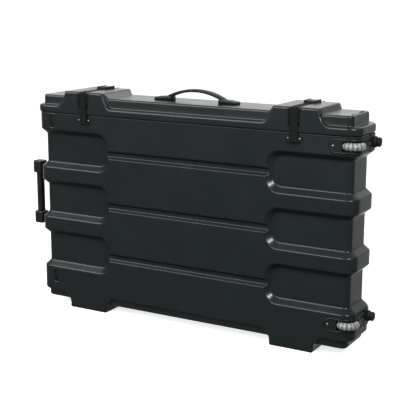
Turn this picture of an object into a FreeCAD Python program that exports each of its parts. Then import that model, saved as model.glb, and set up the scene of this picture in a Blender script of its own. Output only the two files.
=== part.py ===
import FreeCAD, Part
import os
import re
from types import SimpleNamespace

import Sketcher

# Slim upright roto-moulded transport case on two corner wheels, with a lift-off lid.
# Frame: +Z up, X along the length (+X is the wheeled end), the front faces -Y.
# The origin is on the floor, half way between the tow grip's tip and the bumpers' tips.
# Every size below is in millimetres; x is counted from the middle of the case and the
# whole assembly is then moved by MIDDLE, so that the origin is where the line above says.

doc = FreeCAD.newDocument("transport_case")
sheet = doc.addObject("Spreadsheet::Sheet", "Dim")

CELLS = [
    # alias, value or formula, meaning
    ("case_length", 1210, "length of the base over its bands"),
    ("case_depth", 176, "depth of the base over its bands"),
    ("corner", 40, "radius of the vertical corners over the bands"),
    ("wall", 5, "wall of the two shells"),
    ("parting", 703, "height of the base's rim"),
    ("lid_gap", 0.6, "gap between rim and lid"),
    ("lid_proud", 4, "how far the lid's flange stands proud of the base"),
    ("flange_tall", 28, "rise from the rim to the flange's top"),
    ("flange_top", "=parting + flange_tall", "height of the flange's top"),
    ("panel_tall", 34, "rise from the flange to the low panels"),
    ("lid_top", "=flange_top + panel_tall", "height of the lid's low panels"),
    ("lid_inset_end", 26, "step from flange to low panel at the ends"),
    ("lid_inset_side", 13, "step from flange to low panel at front and rear"),
    ("block_tall", 18, "rise from the low panels to the stacking blocks"),
    ("block_top", "=lid_top + block_tall", "height of the stacking blocks on the lid"),
    ("block_end", 128, "outer side of a stacking block or foot, from the end"),
    ("block_long", 156, "length of a stacking block or foot"),
    ("block_outer", "=case_length / 2 - block_end", "outer side of a stacking block or foot"),
    ("block_inner", "=block_outer - block_long", "inner side of a stacking block or foot"),
    ("block_root", 27, "how far a block's root spreads"),
    ("base_bottom", 55, "underside of the bottom band"),
    ("keel_bottom", 29, "underside of the keel below the band"),
    ("keel_inset_end", 20, "step from band to keel at the ends"),
    ("keel_inset_side", 9, "step from band to keel at front and rear"),
    ("pocket_depth", 20, "depth of the recessed end pockets"),
    ("pocket_long", 304, "length of a pocket, from the end"),
    ("pocket_inner", "=case_length / 2 - pocket_long", "inner end of the pockets"),
    ("pocket_run", 18, "run of the pockets' sloping walls"),
    ("pocket_first", 142, "lower edge of the lowest pocket"),
    ("band_above", 59, "band from the highest pocket to the rim"),
    ("rib_tall", 45.5, "band between two pockets"),
    ("pocket_height", "=(parting - band_above - pocket_first - 2 * rib_tall) / 3",
     "height of a pocket at the face"),
    ("pocket_pitch", "=pocket_height + rib_tall", "pitch of the pockets"),
    ("pocket_share", 0.35, "radius of a pocket's inner corners, as a share of its height"),
    ("pocket_round", "=pocket_share * pocket_height", "radius of the pockets' inner corners"),
    ("groove_width", 31, "width of the grooves that join the pockets"),
    ("groove_floor", 13, "width of a groove's floor"),
    ("groove_depth", 11, "depth of a groove"),
    ("groove_lift", -3, "groove's middle, from its pocket's middle"),
    ("slot_end", 67, "moulded hand slots, from the end of the case"),
    ("slot_place", "=case_length / 2 - slot_end", "moulded hand slots, from the middle"),
    ("slot_width", 14, "width of a hand slot"),
    ("slot_tall", 42, "height of a hand slot"),
    ("slot_deep", 3, "depth of a hand slot"),
    ("slot_low", 107, "height of the lower hand slot's middle"),
    ("slot_high", "=wheel_high", "height of the upper hand slot's middle"),
    ("tongue_depth", 9, "how far the lid's tongue reaches into the base"),
    ("tongue_wall", 3, "thickness of the lid's tongue"),
    ("tongue_clear", 1.5, "clearance of the tongue to the base's wall"),
    ("gasket_thick", 1.6, "thickness of the lid's gasket"),
    ("foam_side", 10, "thickness of the front and rear linings"),
    ("foam_end", 30, "thickness of the right end lining"),
    ("foam_floor", 48, "thickness of the bottom lining"),
    ("foam_lid", 25, "thickness of the lid's lining"),
    ("foam_clear", 0.5, "clearance round the linings"),
    ("wheel_radius", 37, "radius of the wheels"),
    ("wheel_width", 24, "width of the wheels"),
    ("wheel_crown", 11, "how far the tyre's round crown falls at its edges"),
    ("wheel_end", 21, "wheel axis, from the end"),
    ("wheel_side", 26, "wheel axis, from the front"),
    ("wheel_drop", 30, "upper wheel, below the rim"),
    ("wheel_x", "=case_length / 2 - wheel_end", "wheel axis, along the length"),
    ("wheel_y", "=wheel_side - case_depth / 2", "wheel axis, across the depth"),
    ("wheel_low", 108, "height of the lower wheel"),
    ("wheel_high", "=parting - wheel_drop", "height of the upper wheel"),
    ("hub_radius", 23, "radius of the wheel's hub"),
    ("bearing_radius", 11, "outer radius of a wheel bearing"),
    ("bearing_width", 7, "width of a wheel bearing"),
    ("axle_radius", 4, "radius of the wheel axles"),
    ("running_fit", 0.06, "radial clearance of a shaft in its bore"),
    ("wheel_clear", 2.5, "space round a wheel in its housing"),
    ("housing_half", 19.5, "half height of a wheel housing"),
    ("housing_back", 5, "wall behind a wheel"),
    ("plate_thick", 3, "thickness of the corner plates"),
    ("plate_half", 23, "half height of a corner plate"),
    ("plate_end", 90, "plate's rounded end on the front, from the end"),
    ("plate_left", "=case_length / 2 - plate_end", "plate's rounded end on the front"),
    ("plate_rear", "=foot_y - foot_side", "plate's edge on the end face"),
    ("seat_clear", 0.4, "clearance of a housing in the shell"),
    ("foot_side", 36, "bumper foot, from the rear"),
    ("foot_y", "=case_depth / 2 - foot_side", "bumper foot, across the depth"),
    ("foot_radius", 18, "radius of a bumper foot"),
    ("foot_out", 23, "how far the bumper feet stand out from the end"),
    ("foot_reach", "=case_length / 2 + foot_out", "tip of the bumper feet"),
    ("foot_plate_half", 27, "half size of a bumper's plate"),
    ("screw_radius", 2.5, "shank radius of the screws"),
    ("screw_clear", 0.2, "radial clearance of a screw in its hole"),
    ("screw_head", 5, "head radius of the screws"),
    ("screw_head_thick", 2.4, "head height of the screws"),
    ("nut_thick", 4, "thickness of the nuts"),
    ("tow_low", "=pocket_first + pocket_height + rib_tall / 2", "height of the lower tow tube"),
    ("tow_high", "=tow_low + pocket_pitch", "height of the upper tow tube"),
    ("tow_out", 81, "how far the tow grip stands out from the end"),
    ("tow_reach", "=case_length / 2 + tow_out", "tip of the tow grip"),
    ("grip_radius", 14, "radius of the tow grip's bar"),
    ("tow_block_wide", 38, "width of the grip's end blocks"),
    ("tow_block_tall", 46, "height of the grip's end blocks"),
    ("tow_spread", 3.5, "how far the blocks stand out past the tubes"),
    ("tube_inner", 7.5, "radius of the grip's own tubes"),
    ("tube_outer", 10, "outer radius of the middle tubes"),
    ("tube_wall", 1.2, "wall of the tow tubes"),
    ("tube_clear", 0.3, "radial clearance between the tow tubes"),
    ("sleeve_wall", 2.5, "wall of the guide sleeves"),
    ("sleeve_long", 135, "length of the guide sleeves inside the case"),
    ("sleeve_end", "=case_length / 2 - sleeve_long", "inner end of the guide sleeves"),
    ("bezel_radius", 20, "radius of the bezels round the tow tubes"),
    ("bezel_thick", 4, "thickness of the bezels"),
    ("strap_shift", 1, "strap, from its block's middle"),
    ("strap_x", "=block_outer - block_long / 2 - strap_shift", "middle of a strap"),
    ("strap_wide", 28, "width of the webbing"),
    ("strap_thick", 2, "thickness of the webbing"),
    ("strap_gap", 0.4, "space between webbing and shell"),
    ("strap_drop", 33, "lower end of the webbing, below the rim"),
    ("strap_low", "=parting - strap_drop", "lower end of the webbing"),
    ("channel_wide", 32, "width of the strap channel on the blocks"),
    ("channel_deep", 4, "depth of the strap channel on the blocks"),
    ("anchor_wide", 54, "width of a strap anchor"),
    ("anchor_tall", 14, "height of a strap anchor"),
    ("anchor_thick", 2, "thickness of a strap anchor"),
    ("anchor_drop", 18, "anchor's screws, below the rim"),
    ("anchor_mid", "=parting - anchor_drop", "height of an anchor's screws"),
    ("anchor_screws", 20, "anchor screw, from the strap's middle"),
    ("loop_bar", 1.5, "radius of the anchor's bar"),
    ("buckle_rear", 42, "middle of a cam buckle, from the rear"),
    ("buckle_y", "=case_depth / 2 - buckle_rear", "middle of a cam buckle, across the depth"),
    ("buckle_long", 54, "length of a cam buckle"),
    ("buckle_wide", 38, "width of a cam buckle"),
    ("buckle_side", 3, "side wall of a cam buckle"),
    ("buckle_high", 9, "height of a cam buckle above the block"),
    ("lever_thick", 3, "thickness of a cam lever"),
    ("lever_pin", 1.5, "radius of a cam lever's pin"),
    ("handle_half", 158, "outer end of the carry handle's caps"),
    ("cap_long", 69, "length of a handle cap"),
    ("cap_wide", 32, "width of a handle cap"),
    ("cap_tall", 15, "height of a handle cap"),
    ("backing_thick", 2.5, "thickness of the plates inside the lid"),
    ("grip_wide", 26, "width of the carry handle's strap"),
    ("grip_thick", 10, "thickness of the carry handle's strap"),
    ("grip_rise", 42, "rise of the carry handle's arch above the low panels"),
    ("grip_peak", "=lid_top + grip_rise", "top of the carry handle's arch"),
]
for row, (alias, value, meaning) in enumerate(CELLS, start=1):
    sheet.set(f"A{row}", meaning)
    sheet.setAlias(f"B{row}", alias)
for row, (alias, value, meaning) in enumerate(CELLS, start=1):
    sheet.set(f"B{row}", str(value))
doc.recompute()
NAMES = {alias for alias, value, meaning in CELLS}
D = SimpleNamespace(**{alias: float(sheet.get(alias)) for alias in NAMES})
MIDDLE = "(tow_reach - foot_reach) / 2"
middle = (D.tow_reach - D.foot_reach) / 2
SUBPARTS = []
X_AXIS = FreeCAD.Vector(1, 0, 0)
Y_AXIS = FreeCAD.Vector(0, 1, 0)
Z_AXIS = FreeCAD.Vector(0, 0, 1)


def vec(x, y, z):
    return FreeCAD.Vector(x, y, z)


def bind(thing, prop, text):
    """Ties a property to an expression in which the sheet's words stand for their cells."""
    tied = re.sub(r"[a-z][a-z_]+", lambda m: f"Dim.{m[0]}" if m[0] in NAMES else m[0], text)
    thing.setExpression(prop, tied)


def place(thing, x, y, z):
    bind(thing, "Placement.Base.x", x)
    bind(thing, "Placement.Base.y", y)
    bind(thing, "Placement.Base.z", z)


def box(name, low, size):
    """A box from its low corner and its size, all as expressions."""
    made = doc.addObject("Part::Box", name)
    for prop, text in zip(("Length", "Width", "Height"), size):
        bind(made, prop, text)
    place(made, *low)
    return made


TURNS = {
    "X": FreeCAD.Rotation(Y_AXIS, 90),
    "Y": FreeCAD.Rotation(X_AXIS, -90),
    "Z": FreeCAD.Rotation(),
}


def rod(name, start, radius, length, axis="Z"):
    """A cylinder from the centre of its first face, along a positive axis."""
    made = doc.addObject("Part::Cylinder", name)
    bind(made, "Radius", radius)
    bind(made, "Height", length)
    made.Placement = FreeCAD.Placement(vec(0, 0, 0), TURNS[axis])
    place(made, *start)
    return made


def fuse(name, pieces):
    made = doc.addObject("Part::MultiFuse", name)
    made.Shapes = pieces
    return made


def group(name, pieces):
    """Like pieces that stay separate solids in one node."""
    made = doc.addObject("Part::Compound", name)
    made.Links = pieces
    return made


def cut(name, base, tool):
    made = doc.addObject("Part::Cut", name)
    made.Base = base
    made.Tool = tool
    return made


def feature(name, shape):
    made = doc.addObject("Part::Feature", name)
    made.Shape = shape
    return made


def subpart(made, label, x="0", y="0", z="0"):
    """Names a finished piece and moves it from the case's middle to the model's origin."""
    made.Label = label
    place(made, f"{x} + {MIDDLE}", y, z)
    SUBPARTS.append(made)
    return made


def turned(name, outline):
    """A PartDesign body turned about its own Z from (radius, height) expressions."""
    body = doc.addObject("PartDesign::Body", name)
    sketch = body.newObject("Sketcher::SketchObject", name + "_profile")
    plane = [f for f in body.Origin.OriginFeatures if f.Role == "XZ_Plane"][0]
    sketch.AttachmentSupport = [(plane, "")]
    sketch.MapMode = "FlatFace"
    known = {alias: getattr(D, alias) for alias in NAMES}
    spots = [vec(*(eval_number(t, known) for t in spot), 0) for spot in outline]
    for i, spot in enumerate(spots):
        sketch.addGeometry(Part.LineSegment(spot, spots[(i + 1) % len(spots)]))
    for i in range(len(spots)):
        sketch.addConstraint(Sketcher.Constraint("Coincident", i, 2, (i + 1) % len(spots), 1))
    for i, (radius, height) in enumerate(outline):
        for way, text, value in (("X", radius, spots[i].x), ("Y", height, spots[i].y)):
            number = sketch.addConstraint(
                Sketcher.Constraint("Distance" + way, -1, 1, i, 1, value)
            )
            bind(sketch, f"Constraints[{number}]", text)
    turn = body.newObject("PartDesign::Revolution", name + "_turned")
    turn.Profile = sketch
    turn.ReferenceAxis = (sketch, ["V_Axis"])
    turn.Angle = 360
    body.Tip = turn
    return body


def eval_number(text, known):
    """The value of a sum or difference of products, such as 'a - b / 2 + 1'."""
    total = 0.0
    for sign, term in re.findall(r"([+-]?)\s*([^+-]+)", text):
        value = 1.0
        for way, factor in re.findall(r"([*/]?)\s*([\w.]+)", term):
            number = known[factor] if factor in known else float(factor)
            value = value / number if way == "/" else value * number
        total += -value if sign == "-" else value
    return total


# ---------------------------------------------------------------- the shells' shapes
half_length = D.case_length / 2
half_depth = D.case_depth / 2
SCREW_HOLE = D.screw_radius + D.screw_clear
EDGE_SHARE = 0.41  # how far an edge between a face and a 45 degree slope moves per inset
POCKETS = [
    (D.pocket_first + i * D.pocket_pitch, D.pocket_first + i * D.pocket_pitch + D.pocket_height)
    for i in range(3)
]


def rounded(half_x, half_y, radius, z):
    """A rounded rectangle as a wire at a height."""
    spots = []
    for sx, sy, first in ((1, 1, "y"), (-1, 1, "x"), (-1, -1, "y"), (1, -1, "x")):
        side = vec(sx * half_x, sy * (half_y - radius), z)
        end = vec(sx * (half_x - radius), sy * half_y, z)
        centre = vec(sx * (half_x - radius), sy * (half_y - radius), z)
        diagonal = vec(sx, sy, 0).normalize() * radius
        start, stop = (side, end) if first == "y" else (end, side)
        spots.append((start, centre + diagonal, stop))
    edges = []
    for i, (start, mid, stop) in enumerate(spots):
        edges.append(Part.Arc(start, mid, stop).toShape())
        edges.append(Part.LineSegment(stop, spots[(i + 1) % 4][0]).toShape())
    return Part.Wire(edges)


def loft(wires):
    """A ruled solid through wires, turned right side out."""
    made = Part.makeLoft(wires, True, True)
    if made.Volume < 0:
        made.reverse()
    return made


def slab(half_x, half_y, radius, low, high):
    face = Part.Face(rounded(half_x, half_y, radius, low))
    return face.extrude(vec(0, 0, high - low))


def blocks(low_x, high_x, low_z, high_z, spread, half_y):
    """Two blocks with spreading roots: the root is at low_z, the crown at high_z."""
    way = 1 if high_z > low_z else -1
    root = low_z + way * spread
    spots = [
        (low_x - spread, low_z - way * D.wall), (low_x - spread, low_z), (low_x, root),
        (low_x, high_z), (high_x, high_z), (high_x, root), (high_x + spread, low_z),
        (high_x + spread, low_z - way * D.wall),
    ]
    solids = []
    for side in (-1, 1):
        wire = Part.makePolygon([vec(side * x, -half_y, z) for x, z in spots + spots[:1]])
        solids.append(Part.Face(wire).extrude(vec(0, 2 * half_y, 0)))
    return solids


def pocket_outline(side, y, inner, low, high, radius, outer):
    """The outline of a pocket on the front or rear: open to the end, round at its inner corners."""
    turn = radius * (1 - 0.5 ** 0.5)
    spots = [
        vec(side * outer, y, low), vec(side * (inner + radius), y, low),
        vec(side * (inner + turn), y, low + turn), vec(side * inner, y, low + radius),
        vec(side * inner, y, high - radius), vec(side * (inner + turn), y, high - turn),
        vec(side * (inner + radius), y, high), vec(side * outer, y, high),
    ]
    return Part.Wire([
        Part.LineSegment(spots[0], spots[1]).toShape(),
        Part.Arc(spots[1], spots[2], spots[3]).toShape(),
        Part.LineSegment(spots[3], spots[4]).toShape(),
        Part.Arc(spots[4], spots[5], spots[6]).toShape(),
        Part.LineSegment(spots[6], spots[7]).toShape(),
        Part.LineSegment(spots[7], spots[0]).toShape(),
    ])


def base_solid(inset, top):
    """The base's outer form, drawn in by an inset on every wall."""
    edge = inset * EDGE_SHARE
    outer = (half_length - inset, half_depth - inset, D.corner - inset)
    core_round = D.corner - D.pocket_depth + inset
    core = (outer[0] - D.pocket_depth, outer[1] - D.pocket_depth, max(core_round - inset, 8))
    bottom = D.base_bottom + inset
    joint = D.pocket_inner - edge + D.pocket_round + inset + 1

    rings = [rounded(*outer, bottom)]
    for low, high in POCKETS:
        rings.append(rounded(*outer, low - edge))
        rings.append(rounded(*core, low - edge + D.pocket_run))
        rings.append(rounded(*core, high + edge - D.pocket_run))
        rings.append(rounded(*outer, high + edge))
    rings.append(rounded(*outer, top))
    ends = loft(rings)
    reach = half_length + D.pocket_depth
    tall = top - bottom
    pieces = []
    for x in (-reach, joint):
        keep = Part.makeBox(reach - joint, 4 * half_depth, tall, vec(x, -2 * half_depth, bottom))
        pieces.append(ends.common(keep))

    middle_piece = Part.makeBox(
        2 * joint, 2 * outer[1], tall, vec(-joint, -outer[1], bottom)
    )
    cutters = []
    over = D.pocket_depth / 10
    for low, high in POCKETS:
        for side in (-1, 1):
            for face in (-1, 1):
                wires = []
                for depth in (-over, D.pocket_depth):
                    share = depth / D.pocket_depth
                    run = D.pocket_run * share
                    wires.append(pocket_outline(
                        side, face * (outer[1] - depth), D.pocket_inner - edge + run,
                        low - edge + run, high + edge - run,
                        D.pocket_round + inset - run / 2, joint + reach,
                    ))
                cutters.append(loft(wires))
        mid = (low + high) / 2 + D.groove_lift
        rim = D.groove_width / 2 + edge
        floor = D.groove_floor / 2 + edge
        slope = (rim - floor) / D.groove_depth
        long = D.pocket_inner + D.pocket_run
        for face in (-1, 1):
            spots = [
                vec(-long, face * (outer[1] + over), mid - rim - slope * over),
                vec(-long, face * (outer[1] - D.groove_depth), mid - floor),
                vec(-long, face * (outer[1] - D.groove_depth), mid + floor),
                vec(-long, face * (outer[1] + over), mid + rim + slope * over),
            ]
            wire = Part.makePolygon(spots + spots[:1])
            cutters.append(Part.Face(wire).extrude(vec(2 * long, 0, 0)))
    pieces.append(middle_piece.cut(cutters))

    pieces.append(slab(
        half_length - D.keel_inset_end - inset, half_depth - D.keel_inset_side - inset,
        D.corner - D.keel_inset_side - inset, D.keel_bottom + inset, bottom + D.wall,
    ))
    pieces += blocks(
        D.block_inner + inset, D.block_outer - inset, bottom, inset,
        D.block_root, half_depth - inset,
    )
    return pieces[0].multiFuse(pieces[1:]).removeSplitter()


def lid_solid(inset, low):
    """The lid's outer form, drawn in by an inset on every wall."""
    flange = (
        half_length + D.lid_proud - inset, half_depth + D.lid_proud - inset,
        D.corner + D.lid_proud - inset,
    )
    pieces = [slab(*flange, low, D.flange_top - inset)]
    pieces.append(slab(
        flange[0] - D.lid_inset_end, flange[1] - D.lid_inset_side,
        flange[2] - D.lid_inset_side, low, D.lid_top - inset,
    ))
    pieces += blocks(
        D.block_inner + inset, D.block_outer - inset, D.flange_top - inset,
        D.block_top - inset, D.block_root, flange[1],
    )
    return pieces[0].multiFuse(pieces[1:]).removeSplitter()


def wheel_seat(middle_z, grow):
    """The block of space that a wheel housing takes in the corner of the base."""
    back = D.wheel_radius + D.wheel_clear + D.housing_back + grow
    half = D.housing_half + grow
    return Part.makeBox(
        half_length - D.wheel_x + back, half_depth + D.wheel_y + back, 2 * half,
        vec(D.wheel_x - back, -half_depth, middle_z - half),
    )


HOLE_LONG = 24  # longer than any screw reaches through plate and shell


# ---------------------------------------------------------------- foam linings
room_x = "case_length / 2 - pocket_depth - wall - foam_clear"
room_y = "case_depth / 2 - pocket_depth - wall - foam_clear"
room_z = "keel_bottom + wall + foam_clear"
room_top = "parting - tongue_depth - foam_clear"
band_floor = "base_bottom + wall + foam_clear"
keel_x = "case_length / 2 - keel_inset_end - wall - (corner - keel_inset_side - wall) / 2"
bottom_tall = f"({room_z}) + foam_floor - ({band_floor})"
subpart(
    fuse("FoamBottom", [
        box("FoamBand", (f"-({room_x})", f"-({room_y})", band_floor),
            (f"2 * ({room_x})", f"2 * ({room_y})", bottom_tall)),
        box("FoamKeel", (f"-({keel_x})", f"-({room_y})", room_z),
            (f"2 * ({keel_x})", f"2 * ({room_y})", f"({band_floor}) - ({room_z})")),
    ]),
    "foam_bottom",
)
lining_z = f"({room_z}) + foam_floor + foam_clear"
lining_tall = f"({room_top}) - ({lining_z})"
sleeve_box = "sleeve_end + foam_clear"
lining_x = f"({room_x}) - foam_end - foam_clear"
seat_back = "wheel_radius + wheel_clear + housing_back + seat_clear + foam_clear"
subpart(
    box("FoamRear", ("0", "0", "0"),
        (f"({sleeve_box}) + ({lining_x})", "foam_side", lining_tall)),
    "foam_rear", f"-({sleeve_box})", f"({room_y}) - foam_side", lining_z,
)
subpart(
    box("FoamFront", ("0", "0", "0"),
        (f"({sleeve_box}) + wheel_x - ({seat_back})", "foam_side", lining_tall)),
    "foam_front", f"-({sleeve_box})", f"-({room_y})", lining_z,
)
seat_z = "housing_half + seat_clear + foam_clear"
end_z = f"wheel_low + {seat_z}"
end_bottom = f"max({end_z}; {lining_z})"
end_y = "case_depth / 2 - corner - 8 * foam_clear"
subpart(
    box("FoamEndRight", ("0", "0", "0"),
        ("foam_end", f"2 * ({end_y})", f"wheel_high - ({seat_z}) - ({end_bottom})")),
    "foam_end_right", f"({room_x}) - foam_end", f"-({end_y})", end_bottom,
)
end_left = box("EndLeftBlock", (f"-({room_x})", f"-({end_y})", lining_z),
               (f"({room_x}) - ({sleeve_box}) - foam_clear", f"2 * ({end_y})", lining_tall))
channel_radius = "tube_outer + tube_clear + sleeve_wall + foam_clear"
channels = [
    rod(f"EndLeftChannel{i}", (f"-({room_x}) - 1", "0", tube_z), channel_radius, room_x, "X")
    for i, tube_z in enumerate(("tow_low", "tow_high"))
]
subpart(cut("FoamEndLeft", end_left, fuse("EndLeftChannels", channels)), "foam_end_left")
lid_foam_x = "case_length / 2 - wall - tongue_clear - tongue_wall - corner"
lid_foam_y = "case_depth / 2 + lid_proud - lid_inset_side - wall - foam_clear"
subpart(
    box("FoamLid", ("0", "0", "0"), (f"2 * ({lid_foam_x})", f"2 * ({lid_foam_y})", "foam_lid")),
    "foam_lid", f"-({lid_foam_x})", f"-({lid_foam_y})",
    "lid_top - wall - backing_thick - 2.5 - foam_lid",
)

# ---------------------------------------------------------------- corner wheels
ENDS = ("upper", "lower")
HEIGHT = {"upper": "high", "lower": "low"}


def wheel_tyre(end):
    """A tyre with a round crown, drawn as flats."""
    upper = [
        ("hub_radius", "wheel_width / 2 - 4"), ("wheel_radius - wheel_crown", "wheel_width / 2"),
        ("wheel_radius - wheel_crown / 2", "wheel_width / 2 - wheel_width / 15"),
        ("wheel_radius - wheel_crown / 5", "wheel_width / 3.4"), ("wheel_radius", "wheel_width / 12"),
    ]
    lower = [(radius, f"-{height}".replace("- wheel_width / 15", "+ wheel_width / 15"))
             for radius, height in upper[1:][::-1]]
    body = turned("Tyre" + end, upper + lower + [("hub_radius", "-wheel_width / 2 + 4")])
    subpart(body, f"wheel_tyre_{end}", "wheel_x", "wheel_y", f"wheel_{HEIGHT[end]}")


def wheel_hub(end):
    """The hub: a rim and a barrel joined by five spokes."""
    half = "wheel_width / 2 - 4"
    rim = cut(
        "HubRim" + end,
        rod("HubRimOuter" + end, ("0", "0", f"-({half})"), "hub_radius", f"2 * ({half})"),
        rod("HubRimInner" + end, ("0", "0", f"-({half}) - 1"), "hub_radius - 3", f"2 * ({half}) + 2"),
    )
    spokes = []
    for i in range(5):
        spoke = box(f"HubSpoke{i}{end}", ("0", "0", "-wheel_width / 4"),
                    ("hub_radius - 1.5", "3", "wheel_width / 2"))
        spoke.Placement = FreeCAD.Placement(vec(0, 0, 0), FreeCAD.Rotation(Z_AXIS, 72 * i))
        spokes.append(spoke)
    barrel = rod("HubBarrel" + end, ("0", "0", f"-({half})"), "bearing_radius + 3", f"2 * ({half})")
    blank = fuse("HubBlank" + end, [rim, barrel] + spokes)
    bore = rod("HubBore" + end, ("0", "0", "-wheel_width"), "bearing_radius", "2 * wheel_width")
    subpart(cut("Hub" + end, blank, bore), f"wheel_hub_{end}", "wheel_x", "wheel_y",
            f"wheel_{HEIGHT[end]}")


def wheel_bearings(end):
    """Two ball bearings as plain rings, with the spacer tube between them."""
    half = "(wheel_width / 2 - 4)"
    rings = []
    for name, low, radius, tall in (
        ("Low", f"-{half}", "bearing_radius", "bearing_width"),
        ("High", f"{half} - bearing_width", "bearing_radius", "bearing_width"),
        ("Spacer", f"-{half} + bearing_width", "axle_radius + 2", f"2 * {half} - 2 * bearing_width"),
    ):
        rings.append(cut(
            f"Bearing{name}{end}",
            rod(f"Bearing{name}Outer{end}", ("0", "0", low), radius, tall),
            rod(f"Bearing{name}Bore{end}", ("0", "0", f"{low} - 1"), "axle_radius + running_fit",
                f"{tall} + 2"),
        ))
    subpart(group("Bearings" + end, rings), f"wheel_bearings_{end}", "wheel_x", "wheel_y",
            f"wheel_{HEIGHT[end]}")


def wheel_axle(end):
    """A bolt through the housing's ears, with its head above and its nut below."""
    shank = rod("AxleShank" + end, ("0", "0", "-housing_half - nut_thick - 1"), "axle_radius",
                "2 * housing_half + nut_thick + 2")
    head = rod("AxleHead" + end, ("0", "0", "housing_half"), "1.6 * axle_radius", "nut_thick")
    nut = doc.addObject("Part::Prism", "AxleNut" + end)
    nut.Polygon = 6
    bind(nut, "Circumradius", "1.8 * axle_radius")
    bind(nut, "Height", "nut_thick")
    place(nut, "0", "0", "-housing_half - nut_thick")
    subpart(fuse("Axle" + end, [shank, head, nut]), f"wheel_axle_{end}", "wheel_x", "wheel_y",
            f"wheel_{HEIGHT[end]}")


def wheel_bracket(end):
    """A plate wrapped round the corner, with a housing behind it that carries the axle."""
    mid = getattr(D, "wheel_" + HEIGHT[end])
    body = (half_length, half_depth, D.corner)
    skin = [size + D.plate_thick for size in body]
    wrap = slab(*skin, mid - D.plate_half, mid + D.plate_half)
    wrap = wrap.cut(slab(*body, mid - 2 * D.plate_half, mid + 2 * D.plate_half))
    reach = half_length + 2 * D.plate_thick
    long = reach - D.plate_left - D.plate_half
    keep = Part.makeBox(long, skin[1] + D.plate_rear, 2 * D.plate_half,
                        vec(D.plate_left + D.plate_half, -skin[1], mid - D.plate_half))
    disc = Part.makeCylinder(D.plate_half, half_depth, vec(D.plate_left + D.plate_half, -skin[1], mid),
                             Y_AXIS)
    plate = wrap.common(keep.fuse(disc))
    block = wheel_seat(mid, 0).common(slab(*body, mid - D.plate_half, mid + D.plate_half))
    space = Part.makeCylinder(
        D.wheel_radius + D.wheel_clear, D.wheel_width + 2 * D.wheel_clear,
        vec(D.wheel_x, D.wheel_y, mid - D.wheel_width / 2 - D.wheel_clear),
    )
    opening = Part.makeBox(
        2 * D.corner, 2 * D.corner, D.wheel_width + 2 * D.wheel_clear,
        vec(D.wheel_x, D.wheel_y - 2 * D.corner, mid - D.wheel_width / 2 - D.wheel_clear),
    )
    hole = Part.makeCylinder(D.axle_radius, 4 * D.plate_half,
                             vec(D.wheel_x, D.wheel_y, mid - 2 * D.plate_half))
    bracket = plate.fuse(block).cut([space, opening, hole])
    for x, y, axis in SCREW_SPOTS:
        bracket = bracket.cut(Part.makeCylinder(SCREW_HOLE, 4 * D.plate_thick,
                                                vec(x, y, mid) - axis * D.plate_thick, axis))
    subpart(feature("Bracket" + end, bracket.removeSplitter()), f"wheel_bracket_{end}")


SCREW_SPOTS = [
    (D.plate_left + D.plate_half / 2 + 1, -half_depth - D.plate_thick, Y_AXIS),
    (half_length + D.plate_thick, D.plate_rear - D.screw_head - 2, -X_AXIS),
]


def screw(point, axis, length):
    """A round-headed screw: point is under the head, axis runs into the work."""
    head = Part.makeCone(D.screw_head, 0.6 * D.screw_head, D.screw_head_thick, point, -axis)
    shank = Part.makeCylinder(D.screw_radius, length, point, axis)
    return head.fuse(shank)


for end in ENDS:
    wheel_tyre(end)
    wheel_hub(end)
    wheel_bearings(end)
    wheel_axle(end)
    wheel_bracket(end)
base_holes = []
screws = []
for mid in (D.wheel_low, D.wheel_high):
    for x, y, axis in SCREW_SPOTS:
        screws.append(screw(vec(x, y, mid), axis, D.plate_thick + D.wall + 3))
        base_holes.append((vec(x, y, mid), axis))
subpart(feature("BracketScrews", Part.makeCompound(screws)), "wheel_bracket_screws")

# ---------------------------------------------------------------- bumper feet on the wheeled end
foot_back = half_length + D.plate_thick
for end in ENDS:
    mid = getattr(D, "wheel_" + HEIGHT[end])
    low_y = D.plate_rear + 4
    wide = half_depth - D.corner + 22 - low_y
    plate = Part.makeBox(D.plate_thick, wide, 2 * D.foot_plate_half,
                         vec(half_length, low_y, mid - D.foot_plate_half))
    skin = slab(half_length + D.plate_thick, half_depth + D.plate_thick, D.corner + D.plate_thick,
                mid - D.foot_plate_half, mid + D.foot_plate_half)
    skin = skin.cut(slab(half_length, half_depth, D.corner, 0, D.block_top))
    keep = Part.makeBox(D.corner, wide, 2 * D.foot_plate_half,
                        vec(half_length - D.corner / 2, low_y, mid - D.foot_plate_half))
    skin = skin.common(keep)
    hole = Part.makeCylinder(SCREW_HOLE, D.corner, vec(half_length - 5, D.foot_y, mid), X_AXIS)
    subpart(feature("FootPlate" + end, skin.cut(hole)), f"bumper_plate_{end}")
    foot = turned("Foot" + end, [
        ("screw_radius + screw_clear", "0"), ("foot_radius", "0"), ("foot_radius", "5"),
        ("foot_radius - 3", "7"), ("foot_radius - 3", "foot_reach - case_length / 2 - plate_thick - 2"),
        ("foot_radius - 5", "foot_reach - case_length / 2 - plate_thick"),
        ("screw_head + 1.5", "foot_reach - case_length / 2 - plate_thick"),
        ("screw_head + 1.5", "6"), ("screw_radius + screw_clear", "6"),
    ])
    foot.Placement = FreeCAD.Placement(vec(0, 0, 0), TURNS["X"])
    subpart(foot, f"bumper_foot_{end}", "case_length / 2 + plate_thick", "foot_y",
            f"wheel_{HEIGHT[end]}")
foot_screws = []
for mid in (D.wheel_low, D.wheel_high):
    point = vec(foot_back + 6, D.foot_y, mid)
    foot_screws.append(screw(point, -X_AXIS, 6 + D.plate_thick + D.wall + 3))
    base_holes.append((point, -X_AXIS))
subpart(feature("FootScrews", Part.makeCompound(foot_screws)), "bumper_screws")

# ---------------------------------------------------------------- tow handle on the other end
sleeve_bore = "tube_outer + tube_clear"
LEVELS = {"upper": "tow_high", "lower": "tow_low"}


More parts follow.
